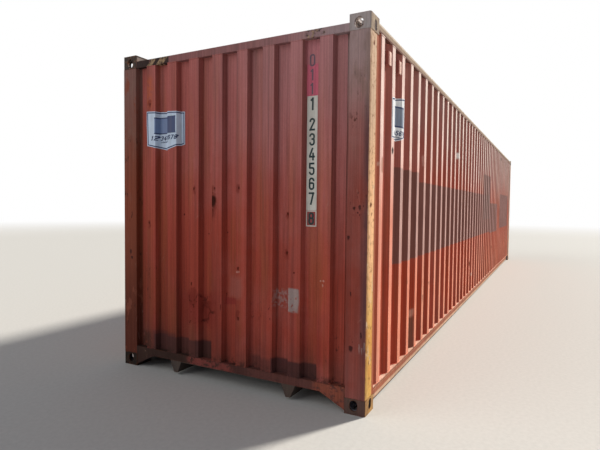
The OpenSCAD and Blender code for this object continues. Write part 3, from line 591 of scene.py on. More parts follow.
def sideMarks(place, axes, colour, weather):
    masks = [times(patchMask(place, low, high, 0.008, 0.02), 0.88) for low, high, _ in sideBands]
    for mask, (_, _, tone) in zip(masks, sideBands):
        colour = mix(mask, colour, tone)
    banded = reduce(larger, masks)
    # Ridge flats paler: sun bleach plus a painted highlight where the sun grazes them, paler up high, weaker
    # in the overpaint band
    ridge = ramp(absolute(axes[1]), *faces["wallRidges"])
    uneven = ramp(noise(place, 4.0, 5.0, 0.6), 0.2, 0.8, 0.7, 1.0)
    extra = mix(ramp(axes[2], 0.5, 1.1), (0.46, 0.27, 0.185), (0.41, 0.24, 0.18))
    extra = mix(ramp(axes[2], 1.35, 2.25), extra, (0.52, 0.58, 0.54))
    extra = mix(banded, extra, (0.36, 0.275, 0.26))
    bleachedAndLit = mix(1.0, colour, extra, "ADD")
    colour = mix(times(ridge, uneven), colour, bleachedAndLit)
    colour = paintPatches(place, colour, sideScrapesAndPaintedLight)
    onLeft = times(above(axes[1], 0.0), 0.96)
    return spotMarks(raggedAxes(place, 0.010), colour, sideSpots, (0.018, 0.008, 0.007), onLeft, 0)


finishes["side_paint"] = paintedSteel("sidePaint", sideLook, sideMarks)

# Corner posts: red-brown faces, ochre where the sun has eaten the side faces
postLook = {
    **plainLook,
    "base": (0.230, 0.043, 0.029),
    "faded": (0.33, 0.175, 0.168),
    "fade": 0.35,
    "fadeHeights": (1.5, 2.9),
    "fadeLift": 0.85,
    "gloss": 0.05,
    "sheen": 0.0,
    "streaks": 0.45,
    "streakTone": (0.12, 0.050, 0.045),
    "rust": 0.26,
    "spotsPerMetre": 9.0,
    "run": 0.8,
    "edge": 0.35,
    "scratches": 0.6,
    "dents": 0.003,
}
# Rust runs over the post on the right hand of the front, stains over the other one
postScuffs = [
    ((1.12, 2.20), (1.22, 2.62), (0.075, 0.045, 0.060), 14.0, 0.60, 0),
    ((1.08, 1.85), (1.22, 2.35), (0.10, 0.035, 0.028), 18.0, 0.60, 0),
    ((1.10, 0.46), (1.16, 0.60), (0.040, 0.014, 0.010), 34.0, 0.60, 0),
    ((1.06, 1.40), (1.22, 1.62), (0.045, 0.016, 0.012), 34.0, 0.60, 0),
    ((-1.22, 0.15), (-1.03, 2.75), (0.20, 0.056, 0.034), 9.0, 0.57, 0),
    ((-1.22, 0.40), (-1.03, 2.20), (0.055, 0.020, 0.013), 14.0, 0.60, 0),
]
postSpots = [
    (1.100, 0.492, 0.022, 0.020),
    (1.112, 1.515, 0.014, 0.010),
    (1.155, 1.525, 0.013, 0.030),
    (1.140, 1.480, 0.008, 0.0),
    (1.070, 1.305, 0.014, 0.020),
    (1.178, 0.610, 0.008, 0.050),
    (1.095, 0.900, 0.008, 0.030),
    (-1.135, 1.085, 0.018, 0.020),
    (-1.120, 1.025, 0.016, 0.010),
]
postNicks = [
    (1.166, 0.520, 0.008, 0.070),
    (1.186, 0.500, 0.008, 0.050),
    (1.204, 0.540, 0.007, 0.080),
]


def postMarks(place, axes, colour, weather):
    far = below(axes[1], 0.0)
    brown = mix(ramp(axes[2], 0.3, 1.4), (0.10, 0.026, 0.015), (0.20, 0.050, 0.026))
    brown = mix(ramp(axes[2], 1.7, 2.7), brown, (0.155, 0.060, 0.045))
    colour = mix(times(far, 0.92), colour, brown)
    rim = ramp(noise(stretched(place, (1, 1, 0.3)), 7.0, 5.0, 0.65), 0.35, 0.6)
    rim = times(rim, ramp(axes[1], 1.145, 1.210, 0.0, 0.8))
    colour = mix(rim, colour, (0.090, 0.042, 0.046))
    top = times(ramp(axes[2], 2.0, 2.7), minus(0.6, times(far, 0.5)))
    colour = mix(top, colour, (0.33, 0.27, 0.272))
    mottle = ramp(noise(stretched(place, (1, 1, 0.4)), 5.5, 6.0, 0.66), 0.47, 0.60)
    mottle = times(mottle, ramp(axes[2], 1.7, 2.45, 0.0, 0.5))
    colour = mix(mottle, colour, (0.185, 0.115, 0.090))
    colour = scuffMarks(place, colour, postScuffs)
    colour = spotMarks(raggedAxes(place, 0.02, 45.0), colour, postNicks, (0.34, 0.27, 0.26), 0.35)
    colour = spotMarks(raggedAxes(place, 0.02, 45.0), colour, postSpots, (0.030, 0.010, 0.010), 0.85)
    outward = absolute(axes[1])
    sideFace = ramp(outward, *faces["postSide"])
    warm = ramp(noise(stretched(place, (1, 1, 0.35)), 6.0, 5.0, 0.65), 0.3, 0.7)
    low = mix(warm, (0.68, 0.41, 0.115), (0.58, 0.27, 0.070))
    high = mix(warm, (0.54, 0.375, 0.255), (0.60, 0.41, 0.29))
    ochre = mix(ramp(axes[2], 0.5, 2.2), low, high)
    middle = times(ramp(axes[2], 0.6, 1.3), ramp(axes[2], 2.3, 1.5, 0.0, 0.8))
    ochre = mix(middle, ochre, (0.84, 0.49, 0.265))
    speckle = ramp(noise(place, 26.0, 8.0, 0.75), 0.53, 0.64)
    ochre = mix(times(speckle, 0.75), ochre, (0.20, 0.085, 0.035))
    corner = absolute(raggedAxes(place, 0.06, 14.0)[0])
    corner = ramp(corner, 6.035, 6.088, 0.0, 0.6)  # rust along the end's edge
    ochre = mix(corner, ochre, (0.16, 0.065, 0.030))
    flakes = ramp(noise(stretched(place, (1, 1, 0.5)), 15.0, 6.0, 0.7), 0.55, 0.62)
    ochre = mix(times(flakes, 0.5), ochre, (0.66, 0.52, 0.38))
    behind = absolute(raggedAxes(place, 0.008, 20.0)[0])
    behind = ramp(behind, 5.964, 5.952)  # red is left along the wall
    ochre = mix(behind, ochre, (0.35, 0.105, 0.056))
    colour = mix(sideFace, colour, ochre)
    step = above(axes[0], -faces["postBack"])  # painted highlight on the step beside the last ridge, where shade falls
    step = times(times(step, below(axes[0], 0.0)), above(outward, 1.17))
    return mix(times(step, 0.85), colour, (0.84, 0.72, 0.63))


finishes["post_paint"] = paintedSteel("postPaint", postLook, postMarks)

railLook = dict(
    postLook, base=(0.25, 0.16, 0.098), faded=(0.34, 0.245, 0.18), rust=0.25, streaks=0.15, fade=0.8
)


def railMarksAndHighlight(place, axes, colour, weather):
    height = raggedAxes(place, 0.010, 16.0)[2]
    colour = mix(ramp(height, 2.828, 2.822, 0.0, 0.9), colour, (0.135, 0.058, 0.048))
    # painted highlight along the top edge
    edge = times(ramp(height, 2.852, 2.860), 0.8)
    return mix(edge, colour, (0.66, 0.56, 0.46))


finishes["rail_paint"] = paintedSteel("railPaint", railLook, railMarksAndHighlight)

# Header: faded hatching at its ends
headerLook = dict(frontLook, fade=0.8, rust=0.24, edge=0.5, dents=0.003, grime=0.0)
# Hatching as dark ends with slanted yellow bars at (start, stop)
headerHatch = {
    "ends": ((-1.14, -0.665, 0.72), (0.70, 0.945, 0.52)),
    "bars": ((-0.895, -0.835), (-0.785, -0.700), (0.735, 0.790), (0.845, 0.900)),
    "dark": (0.040, 0.026, 0.024),
    "pale": (0.32, 0.215, 0.13),
}


def headerMarks(place, axes, colour, weather):
    # painted sky reflection and painted shade, as on the front wall
    colour = frontPaintedSkyAndShade(axes, colour)
    colour = mix(ramp(axes[1], 0.9, -0.2, 0.35, 0.6), colour, (0.17, 0.098, 0.103))
    colour = mix(ramp(axes[1], 0.45, 1.0, 0.0, 0.6), colour, (0.31, 0.27, 0.285))
    slant = minus(axes[1], minus(axes[2], 2.808))
    soft = 0.006  # half the width of a bar's rim

    def bar(start, stop):
        return times(ramp(slant, start - soft, start + soft), ramp(slant, stop + soft, stop - soft))

    bars = reduce(larger, [bar(start, stop) for start, stop in headerHatch["bars"]])
    bars = times(bars, ramp(noise(place, 22.0, 6.0, 0.7), 0.60, 0.46))
    paint = mix(bars, headerHatch["dark"], headerHatch["pale"])
    for start, stop, wear in headerHatch["ends"]:
        left = ramp(noise(place, 16.0, 7.0, 0.72), wear, wear - 0.12)
        mask = times(patchMask(place, (start, 2.70), (stop, 2.90), 0.012, 0.03), left)
        colour = mix(mask, colour, paint)
    return colour


finishes["header_paint"] = paintedSteel("headerPaint", headerLook, headerMarks)

sillLook = dict(
    postLook,
    base=(0.070, 0.024, 0.021),
    faded=(0.115, 0.050, 0.042),
    fade=0.8,
    rust=0.45,
    edge=0.9,
    scratches=0.8,
    scratchTone=(0.34, 0.20, 0.14),
)
sillPatches = [
    ((-0.42, 0.10), (0.03, 0.20), (0.25, 0.060, 0.050), 0.03, 0.12, 0.75, 0.60),
    ((0.80, 0.01), (1.06, 0.20), (0.29, 0.080, 0.048), 0.03, 0.06, 0.75, 0.62),
    ((0.20, 0.10), (0.80, 0.20), (0.13, 0.048, 0.040), 0.03, 0.06, 0.6, 0.62),
]


def sillMarks(place, axes, colour, weather):
    outward = absolute(axes[1])
    ledge = ramp(outward, *faces["postSide"])
    top = ramp(axes[2], 0.1615, 0.1628)
    pale = mix(weather["Clouds"], (0.66, 0.40, 0.29), (0.80, 0.56, 0.44))
    onRail = below(absolute(axes[0]), faces["railEnd"])
    mask = times(larger(onRail, larger(ledge, top)), above(outward, 1.10))
    dirty = times(ramp(axes[1], 0.4, -0.5), above(axes[0], frontSpan[0]))
    colour = mix(times(dirty, 0.88), colour, (0.040, 0.022, 0.017))
    colour = paintPatches(place, colour, sillPatches)
    scraped = ramp(noise(stretched(place, (0.3, 1, 1)), 9.0, 6.0, 0.7), 0.62, 0.45, 0.45, 0.9)
    height = raggedAxes(place, 0.012, 12.0)[2]
    # Web of the side rails in bands: brown-red above about 0.05 m is painted shadow under the ledge, cream
    # below
    railPaintedShading = mix(ramp(height, 0.056, 0.046), (0.38, 0.135, 0.080), (0.64, 0.42, 0.29))
    # painted shade: a dark line along the foot
    railPaintedShading = mix(ramp(axes[2], 0.026, 0.020), railPaintedShading, (0.14, 0.075, 0.050))
    # painted light: paler above 0.085 m, where the ledge's real shadow falls
    railPaintedShading = mix(ramp(axes[2], 0.080, 0.090), railPaintedShading, (0.66, 0.27, 0.17))
    railPaintedShading = mix(ramp(axes[2], 0.150, 0.155), railPaintedShading, pale)
    pale = mix(onRail, pale, railPaintedShading)
    scraped = mix(onRail, scraped, ramp(scraped, 0.45, 0.9, 0.78, 1.0))
    return mix(times(mask, scraped), colour, pale)


finishes["sill_paint"] = paintedSteel("sillPaint", sillLook, sillMarks)

castingLook = dict(
    postLook,
    base=(0.056, 0.031, 0.024),
    faded=(0.23, 0.16, 0.135),
    fade=0.3,
    rust=0.5,
    spotsPerMetre=14.0,
    edge=1.0,
    edgeReach=0.010,
    dents=0.002,
    pits=0.0004,
)


def castingMarks(place, axes, colour, weather):
    sideFace = ramp(absolute(axes[1]), *faces["castingSide"])
    bare = ramp(noise(place, 12.0, 6.0, 0.7), 0.35, 0.65, 0.35, 0.95)
    high = above(axes[2], faces["halfHeight"])
    tone = mix(high, (0.48, 0.27, 0.10), (0.36, 0.285, 0.20))
    colour = mix(times(sideFace, bare), colour, tone)
    fromMiddle = (absolute(axes[0]), absolute(axes[1]), absolute(minus(axes[2], cadMiddle)))
    # Painted light in the castings' hollows: pale in the upper castings, grey in the lower ones, weaker on
    # the far side
    paintedHollowLight = reduce(times, [ramp(away, *span) for away, span in zip(fromMiddle, faces["castingHollow"])])
    far = below(axes[1], 0.0)
    grey = times(times(high, minus(1.0, sideFace)), 0.75)
    colour = mix(grey, colour, (0.36, 0.325, 0.33))
    rusted = ramp(noise(place, 30.0, 6.0, 0.7), 0.5, 0.62)
    dark = mix(rusted, (0.033, 0.024, 0.019), (0.115, 0.056, 0.028))
    colour = mix(times(far, 0.94), colour, dark)
    black = times(far, minus(1.0, high))
    colour = mix(times(black, 0.7), colour, (0.018, 0.013, 0.011))
    paintedHollowLight = times(paintedHollowLight, minus(0.9, times(far, 0.7)))
    return mix(paintedHollowLight, colour, mix(high, (0.28, 0.26, 0.29), (0.80, 0.72, 0.68)))


finishes["casting_steel"] = paintedSteel("castingSteel", castingLook, castingMarks)

roofLook = dict(
    sideLook,
    base=(0.30, 0.085, 0.055),
    faded=(0.40, 0.22, 0.17),
    fade=0.9,
    fadeHeights=None,
    grime=0.0,
    rust=0.3,
    sheen=0.2,
)
finishes["roof_paint"] = paintedSteel("roofPaint", roofLook)

doorLook = dict(
    frontLook, gloss=0.2, rust=0.14, grimeHeights=(0.16, 0.7), dents=0.003, edge=0.25, edgeReach=0.004
)
finishes["door_paint"] = paintedSteel("doorPaint", doorLook)

underLook = {
    **plainLook,
    "base": (0.035, 0.026, 0.022),
    "faded": (0.085, 0.055, 0.040),
    "fade": 0.9,
    "streaks": 0.1,
    "rust": 0.5,
    "spotsPerMetre": 9.0,
    "scratches": 0.3,
    "dents": 0.002,
    "pits": 0.0002,
    "rough": 0.6,
    "sheen": 0.05,
}
finishes["under_paint"] = paintedSteel("underseal", underLook)

fittingLook = dict(
    postLook, base=(0.20, 0.045, 0.032), fadeHeights=None, rust=0.3, edge=0.6, edgeReach=0.004, dents=0.001
)
finishes["fitting_steel"] = paintedSteel("fittingPaint", fittingLook)

ventLook = dict(sideLook, base=(0.33, 0.045, 0.022), rust=0.05, dents=0.0005)


# Painted highlight: a pale upright strip on the cowls' outer faces, where the sun grazes them
def ventPaintedHighlight(place, axes, colour, weather):
    outward = ramp(absolute(axes[1]), *faces["ventFront"])
    aside = maths("PINGPONG", minus(axes[0], 5.612), 0.139)  # the two cowls sit a pitch apart
    strip = ramp(aside, 0.026, 0.020, 0.12, 0.95)
    return mix(times(outward, strip), colour, (0.86, 0.62, 0.53))


finishes["vent_plastic"] = paintedSteel("ventPaint", ventLook, ventPaintedHighlight)


# Dull zinc on the lock rods, with white bloom and rust at the rubbed places
def makeZinc():
    look = {"base": (0.36, 0.36, 0.35), "bloom": (0.55, 0.55, 0.53), "dirt": (0.12, 0.08, 0.06)}
    material, place, shader = startMaterial("dullZinc")
    parts = newNode("SeparateColor", {0: voronoi(place, 120.0)["Color"]}).outputs
    colour = mix(parts[0], look["base"], look["bloom"])
    weather = placeGroup("weathering", place, CloudSize=3.0)
    colour = mix(times(weather["Streaks"], 0.6), colour, look["dirt"])
    rust = placeGroup("rustSpots", place, SpotsPerMetre=16.0, Cover=0.3, Run=0.6)
    feed(shader.inputs["Base Color"], mix(rust["Mask"], colour, rust["Tone"]))
    feed(shader.inputs["Metallic"], minus(0.85, rust["Mask"], clamp=True))
    feed(shader.inputs["Roughness"], ramp(weather["Grain"], 0.2, 0.8, 0.42, 0.62))
    feed(shader.inputs["Normal"], bumped(weather["Grain"], 0.0003))
    return material


finishes["rod_steel"] = makeZinc()


def makeRubber():
    look = {"base": (0.018, 0.018, 0.019), "dusty": (0.075, 0.068, 0.062)}
    material, place, shader = startMaterial("gasketRubber")
    weather = placeGroup("weathering", place, CloudSize=4.0)
    feed(shader.inputs["Base Color"], mix(weather["Clouds"], look["base"], look["dusty"]))
    feed(shader.inputs["Roughness"], ramp(weather["Grain"], 0.2, 0.8, 0.6, 0.8))
    feed(shader.inputs["Normal"], bumped(weather["Grain"], 0.0004))
    return material


finishes["gasket_rubber"] = makeRubber()


# Floor panels: long grain, sheet joints across the box, trodden dirt
def makePlywood():
    look = {"pale": (0.36, 0.19, 0.09), "deep": (0.17, 0.075, 0.035), "sheetLength": 2.44}
    material, place, shader = startMaterial("floorPlywood")
    long = stretched(place, (0.6, 14.0, 14.0))
    figure = noise(long, 4.0, 8.0, 0.62)
    colour = mix(ramp(figure, 0.3, 0.7), look["deep"], look["pale"])
    weather = placeGroup("weathering", place, CloudSize=1.6)
    colour = mix(times(weather["Clouds"], 0.55), colour, (0.07, 0.045, 0.03))
    away = maths("PINGPONG", splitAxes(place)[0], look["sheetLength"] / 2)
    joint = ramp(away, 0.003, 0.001)
    colour = mix(joint, colour, (0.02, 0.014, 0.01))
    feed(shader.inputs["Base Color"], colour)
    feed(shader.inputs["Roughness"], ramp(figure, 0.3, 0.7, 0.55, 0.75))
    feed(shader.inputs["Normal"], bumped(figure, 0.0008))
    return material


finishes["plywood"] = makePlywood()

for part in frame["record"]["subparts"]:
    shown = frame["nodes"][part["node"]]
    for slot in shown.material_slots:
        slot.material = finishes[part["material_slot"]]
print("finishes on the frame's nodes")


# Helpers for pieces
def finishPiece(name, bm, inks, smooth=False):
    mesh = bpy.data.meshes.new(name)
    bm.to_mesh(mesh)
    bm.free()
    for ink in inks:
        mesh.materials.append(finishes[ink])
    for face in mesh.polygons:
        face.use_smooth = smooth
    piece = bpy.data.objects.new(name, mesh)
    bpy.context.scene.collection.objects.link(piece)
    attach(piece, "root")


def roundEdges(bm, edges, offset, segments=2):
    bevel = {"offset": offset, "segments": segments, "affect": "EDGES", "profile": 0.5, "material": -1}
    bmesh.ops.bevel(bm, geom=edges, **bevel)


def solidBlock(bm, low, high, bevel=0.0, segments=1):
    size = Vector(high) - Vector(low)
    middle = (Vector(high) + Vector(low)) / 2
    made = bmesh.ops.create_cube(bm, size=1.0)
    bmesh.ops.scale(bm, vec=size, verts=made["verts"])
    bmesh.ops.translate(bm, vec=middle, verts=made["verts"])
    if bevel > 0:
        edges = list({edge for vert in made["verts"] for edge in vert.link_edges})
        roundEdges(bm, edges, bevel, segments)


def roundBar(bm, start, stop, radius, sides, cuts=0):
    start, stop = Vector(start), Vector(stop)
    along = stop - start
    turn = along.to_track_quat("Z", "Y").to_matrix().to_4x4()
    made = bmesh.ops.create_cone(
        bm,
        cap_ends=True,
        segments=sides,
        radius1=radius,
        radius2=radius,
        depth=along.length,
        matrix=Matrix.Translation((start + stop) / 2) @ turn,
    )
    if cuts > 0:
        long = [
            edge
            for edge in {e for vert in made["verts"] for e in vert.link_edges}
            if abs((edge.verts[1].co - edge.verts[0].co).normalized().dot(along.normalized())) > 0.99
        ]
        made = bmesh.ops.subdivide_edges(bm, edges=long, cuts=cuts, use_grid_fill=False)
        return [item for item in made["geom_inner"] if isinstance(item, bmesh.types.BMVert)]
    return made["verts"]


# Walls' pressed outlines, repeated from the frame in metres: ridges a step apart from the first one on
frontShape = {
    "ridge": 6.091,
    "valley": 6.0454,
    "first": -0.875,
    "step": 0.25,
    "count": 8,
    "flat": 0.052,
    "foot": 0.070,
}
sideShape = {
    "ridge": 1.214,
    "valley": 1.178,
    "first": 5.804,
    "step": -0.278,
    "count": 42,
    "flat": 0.036,
    "foot": 0.104,
}


def pressedDepth(shape, along):
    index = min(max(round((along - shape["first"]) / shape["step"]), 0), shape["count"] - 1)
    distance = abs(along - shape["first"] - index * shape["step"])
    rise = (shape["foot"] - distance) / (shape["foot"] - shape["flat"])
    return shape["valley"] + (shape["ridge"] - shape["valley"]) * min(max(rise, 0.0), 1.0)


def pressedBends(shape):
    centres = [shape["first"] + index * shape["step"] for index in range(shape["count"])]
    sign = 1 if shape["step"] > 0 else -1
    offsets = (-shape["foot"], -shape["flat"], shape["flat"], shape["foot"])
    return [centre + sign * offset for centre in centres for offset in offsets]


# Plain figures drawn with a flat pen in a box 0.5 wide and 1 high: (x, y, heading, moves),
# where a move is a run or a (radius, turn) bend, to the left if the radius is above 0
figures = {
    "1": [(-0.15, 0.26, 42, [0.20]), (0.03, -0.5, 90, [1.0])],
    "2": [
        (-0.175, 0.19, 90, [0.06, (-0.175, 180), 0.06]),
        (0.185, 0.24, -118.2, [0.76]),
        (-0.25, -0.425, 0, [0.5]),
    ],
    "3": [
        (-0.175, 0.22, 90, [0.03, (-0.175, 180), 0.09, (-0.13, 90), 0.095]),
        (-0.05, 0.03, 0, [0.095, (-0.13, 90), 0.15, (-0.175, 180), 0.03]),
    ],
    "4": [(0.07, 0.5, -112, [0.72]), (-0.25, -0.2, 0, [0.52]), (0.10, -0.5, 90, [0.62])],
    "5": [
        (-0.25, 0.425, 0, [0.48]),
        (-0.175, 0.45, -90, [0.42]),
        (-0.2, 0.08, 0, [0.245, (-0.13, 90), 0.2, (-0.175, 180), 0.03]),
    ],
    "6": [(0.175, 0.20, 90, [0.05, (0.175, 180), 0.5, (0.175, 180), 0.17, (0.13, 90), 0.2])],
    "9": [(-0.175, -0.20, -90, [0.05, (0.175, 180), 0.5, (0.175, 180), 0.17, (0.13, 90), 0.2])],
    "7": [(-0.25, 0.425, 0, [0.5]), (0.17, 0.45, -103.6, [0.977])],
    "0": [(0.175, -0.25, 90, [0.5, (0.175, 180), 0.5, (0.175, 180)])],
    "8": [
        (0.175, -0.25, 90, [0.14, (0.13, 90), 0.09, (0.13, 90), 0.14, (0.175, 180)]),
        (0.155, 0.27, 90, [(0.155, 180), 0.12, (0.13, 90), 0.05, (0.13, 90), 0.12]),
    ],
}


def drawFigure(bm, figure, across, height, size, lift, pen):
    for order, (x, y, heading, moves) in enumerate(figures[figure]):
        older = set(bm.verts)
        place, angle = Vector((x, y, 0)), radians(heading)
        side = Vector((-sin(angle), cos(angle), 0)) * pen / 2
        ends = [bmesh.ops.create_vert(bm, co=place + side * sign)["vert"][0] for sign in (1, -1)]
        tip = bmesh.ops.contextual_create(bm, geom=ends)["edges"]
        for move in moves:
            if isinstance(move, tuple):
                radius, turn = move[0], radians(move[1]) * (1 if move[0] > 0 else -1)
                centre = place + Vector((-sin(angle), cos(angle), 0)) * radius
                bend = {"cent": centre, "axis": (0, 0, 1), "angle": turn, "steps": max(int(abs(turn) * 4), 3)}
                made = bmesh.ops.spin(bm, geom=tip, **bend)["geom_last"]
                place = centre + Matrix.Rotation(turn, 3, "Z") @ (place - centre)
                angle += turn
                tip = [item for item in made if isinstance(item, bmesh.types.BMEdge)][-1:]
            else:
                made = bmesh.ops.extrude_edge_only(bm, edges=tip)["geom"]
                fresh = {item for item in made if isinstance(item, bmesh.types.BMVert)}
                step = Vector((cos(angle), sin(angle), 0)) * move
                bmesh.ops.translate(bm, vec=step, verts=list(fresh))
                place += step
                edges = [item for item in made if isinstance(item, bmesh.types.BMEdge)]
                tip = [edge for edge in edges if fresh.issuperset(edge.verts)][-1:]
        drawn = [vert for vert in bm.verts if vert not in older]
        bmesh.ops.scale(bm, vec=(size, size, 1), verts=drawn)
        bmesh.ops.translate(bm, vec=(across, height, lift * (order + 1)), verts=drawn)


def thicken(bm, outward, thickness):
    raised = bmesh.ops.extrude_face_region(bm, geom=bm.faces[:], use_keep_orig=True)
    lifted = [item for item in raised["geom"] if isinstance(item, bmesh.types.BMVert)]
    bmesh.ops.translate(bm, vec=Vector(outward) * thickness, verts=lifted)
    bmesh.ops.recalc_face_normals(bm, faces=bm.faces)


def cutFlat(bm, point, outward, clear=False):
    plane = {"plane_co": (*point, 0), "plane_no": (*outward, 0), "clear_outer": clear, "dist": 1e-6}
    bmesh.ops.bisect_plane(bm, geom=bm.verts[:] + bm.edges[:] + bm.faces[:], **plane)


# Film stuck over the corrugation: cut from a flat grid, then bent onto the wall
def makeFilm(name, film, bends, ontoWall):
    bm = bmesh.new()
    bmesh.ops.create_grid(bm, x_segments=1, y_segments=1, size=1.0)
    bmesh.ops.translate(bm, vec=(film["middle"][0], film["middle"][1], 0), verts=bm.verts)

    outline = [Vector(corner) for corner in film["outline"]]
    sides = []
    for first, second in zip(outline, outline[1:] + outline[:1]):
        outward = Vector((second.y - first.y, first.x - second.x)).normalized()
        sides.append((first, outward))
        cutFlat(bm, first, outward, True)
    rimStart, rimStop = film["rimStart"], film["rimStart"] + film["rimWidth"]
    for first, outward in sides:
        cutFlat(bm, first - outward * rimStart, outward)
        cutFlat(bm, first - outward * rimStop, outward)
    for bend in bends:
        cutFlat(bm, (bend, 0), (1, 0))
    for low, high, _ in film["fields"]:
        for corner in (low, high):
            cutFlat(bm, corner, (1, 0))
            cutFlat(bm, corner, (0, 1))
    for face in bm.faces:
        centre = face.calc_center_median().xy
        depth = min((first - centre).dot(outward) for first, outward in sides)
        face.material_index = 1 if rimStart < depth < rimStop else 0
        for low, high, ink in film["fields"]:
            if low[0] < centre.x < high[0] and low[1] < centre.y < high[1]:
                face.material_index = ink
    for vert in bm.verts:
        vert.co = ontoWall(vert.co.x, vert.co.y)
    thicken(bm, film["outward"], film["thickness"])
    finishPiece(name, bm, ["film_white", "film_blue", "film_grey"])

    bm = bmesh.new()
    across, height = film["numberPlace"]
    for number, size, drop in film["rows"]:
        for place, figure in enumerate(number):
            shift = (place - len(number) / 2 + 0.5) * size * film["letterPitch"]
            drawFigure(bm, figure, shift, -drop, size, 0, film["pen"])
    for vert in bm.verts:
        vert.co.x = across + (vert.co.x + vert.co.y * film["lean"]) * film["stretch"]
        vert.co.y += height
    for bend in bends:
        cutFlat(bm, (bend, 0), (1, 0))
    for vert in bm.verts:
        raised = Vector(film["outward"]) * (film["thickness"] + film["inkDepth"])
        vert.co = ontoWall(vert.co.x, vert.co.y) + raised
    thicken(bm, film["outward"], film["inkDepth"])
    finishPiece(name + "Number", bm, ["film_blue"])


# White film, yellowed and dusty, and its blue printing
def makeFilmFinish(name, clean, tired, dirt, shade=(1.0, 1.0, 1.0)):
    material, place, shader = startMaterial(name)
    weather = placeGroup("weathering", place, CloudSize=5.0, StreakWidth=40.0)
    colour = mix(weather["Clouds"], clean, tired)
    colour = mix(times(weather["Streaks"], dirt), colour, (0.20, 0.15, 0.13))
    # painted shade: on the front end the film is tinted darker and bluer
    onFront = above(splitAxes(place)[0], frontSpan[0])
    colour = mix(onFront, colour, mix(1.0, colour, shade, "MULTIPLY"))
    feed(shader.inputs["Base Color"], colour)
    feed(shader.inputs["Roughness"], ramp(weather["Grain"], 0.2, 0.8, 0.35, 0.5))
    feed(shader.inputs["Normal"], bumped(weather["Grain"], 0.0002))
    feed(shader.inputs["Specular IOR Level"], 0.12)
    return material


# Rows as (name, clean, tired, dirt, painted shade on the front end)
filmTones = {
    "film_white": ("filmWhite", (0.88, 0.90, 0.93), (0.78, 0.80, 0.82), 0.15, (0.60, 0.70, 0.84)),
    "film_blue": ("filmBlue", (0.036, 0.052, 0.135), (0.055, 0.075, 0.16), 0.12),
    "film_grey": ("filmGrey", (0.20, 0.25, 0.34), (0.24, 0.28, 0.36), 0.3, (0.72, 0.86, 1.15)),
    "strip_white": ("stripWhite", (0.60, 0.60, 0.56), (0.50, 0.49, 0.45), 0.3),
    "strip_ink": ("stripInk", (0.012, 0.030, 0.034), (0.03, 0.05, 0.05), 0.1),
    "field_ink": ("fieldInk", (0.085, 0.070, 0.120), (0.16, 0.085, 0.11), 0.4),
    "strip_red": ("stripRed", (0.30, 0.055, 0.055), (0.24, 0.06, 0.055), 0.3),
}
for finish, tones in filmTones.items():
    finishes[finish] = makeFilmFinish(*tones)

# Blank films: outlines and printed fields as (low, high, ink) on the wall, stuck on a little crooked
filmCut = {
    "rimStart": 0.007,
    "rimWidth": 0.010,
    "gap": 0.0008,
    "thickness": 0.0006,
    "rows": [("12345678", 0.040, 0.0), ("1234567890", 0.013, 0.036)],
    "lean": 0.25,
    "letterPitch": 0.66,
    "pen": 0.2,
    "inkDepth": 0.0002,
}
frontFilm = {
    **filmCut,
    "middle": (-0.70, 2.2),
    "outline": [(-0.920, 2.058), (-0.700, 2.010), (-0.513, 2.058), (-0.515, 2.345), (-0.930, 2.370)],
    "fields": [
        ((-0.835, 2.172), (-0.700, 2.300), 2),
        ((-0.700, 2.172), (-0.585, 2.300), 1),
        ((-0.838, 2.300), (-0.582, 2.311), 1),
        ((-0.838, 2.161), (-0.582, 2.172), 1),
    ],
    "outward": (1, 0, 0),
    "slot": "front_paint",
    "stretch": 1.5,
    "numberPlace": (-0.722, 2.124),
}
sideFilm = {
    **filmCut,
    "middle": (5.38, 2.25),
    "outline": [(5.200, 2.118), (5.345, 2.080), (5.560, 2.082), (5.560, 2.405), (5.200, 2.460)],
    "fields": [
        ((5.235, 2.212), (5.470, 2.360), 2),
        ((5.232, 2.360), (5.473, 2.374), 1),
        ((5.232, 2.198), (5.473, 2.212), 1),
    ],
    "outward": (0, 1, 0),
    "slot": "side_paint",
    "stretch": -1.35,
    "numberPlace": (5.350, 2.150),
}


def ontoFront(across, height):
    return Vector((pressedDepth(frontShape, across) + frontFilm["gap"], across, height))


def ontoSide(along, height):
    return Vector((along, pressedDepth(sideShape, along) + sideFilm["gap"], height))


makeFilm("frontFilm", frontFilm, pressedBends(frontShape), ontoFront)
makeFilm("sideFilm", sideFilm, pressedBends(sideShape), ontoSide)
print("films stuck on")

# Number strip in a valley of the front wall: plain digits in rising order
stripPlace = {
    "x": 6.0454,
    "left": 0.699,
    "right": 0.787,
    "top": 2.360,
    "bottom": 1.492,
    "digits": ("1", "2", "3", "4", "5", "6", "7"),
    "heights": (2.300, 2.146, 2.032, 1.920, 1.808, 1.695, 1.582),
    "digitSize": 0.096,
    "boxTop": 1.490,
    "boxBottom": 1.368,
    "boxLine": 0.008,
    "lastDigit": "8",
    "thickness": 0.0006,
    "redThickness": 0.0004,
    "digitGap": 0.0008,
    "fieldGap": 0.0002,
    "pen": 0.15,
    "lift": 0.0001,
    "inkDepth": 0.0003,
    "fieldDigits": (("0", 2.628, 0.094), ("1", 2.520, 0.088), ("1", 2.415, 0.088)),
}


def standDigit(name, digit, place, size, ink):
    bm = bmesh.new()
    drawFigure(bm, digit, 0, 0, size, stripPlace["lift"], stripPlace["pen"])
    facing = Matrix(((0, 0, 1, place[0]), (1, 0, 0, place[1]), (0, 1, 0, place[2]), (0, 0, 0, 1)))
    bmesh.ops.transform(bm, matrix=facing, verts=bm.verts)
    thicken(bm, (1, 0, 0), stripPlace["inkDepth"])
    finishPiece(name, bm, [ink])


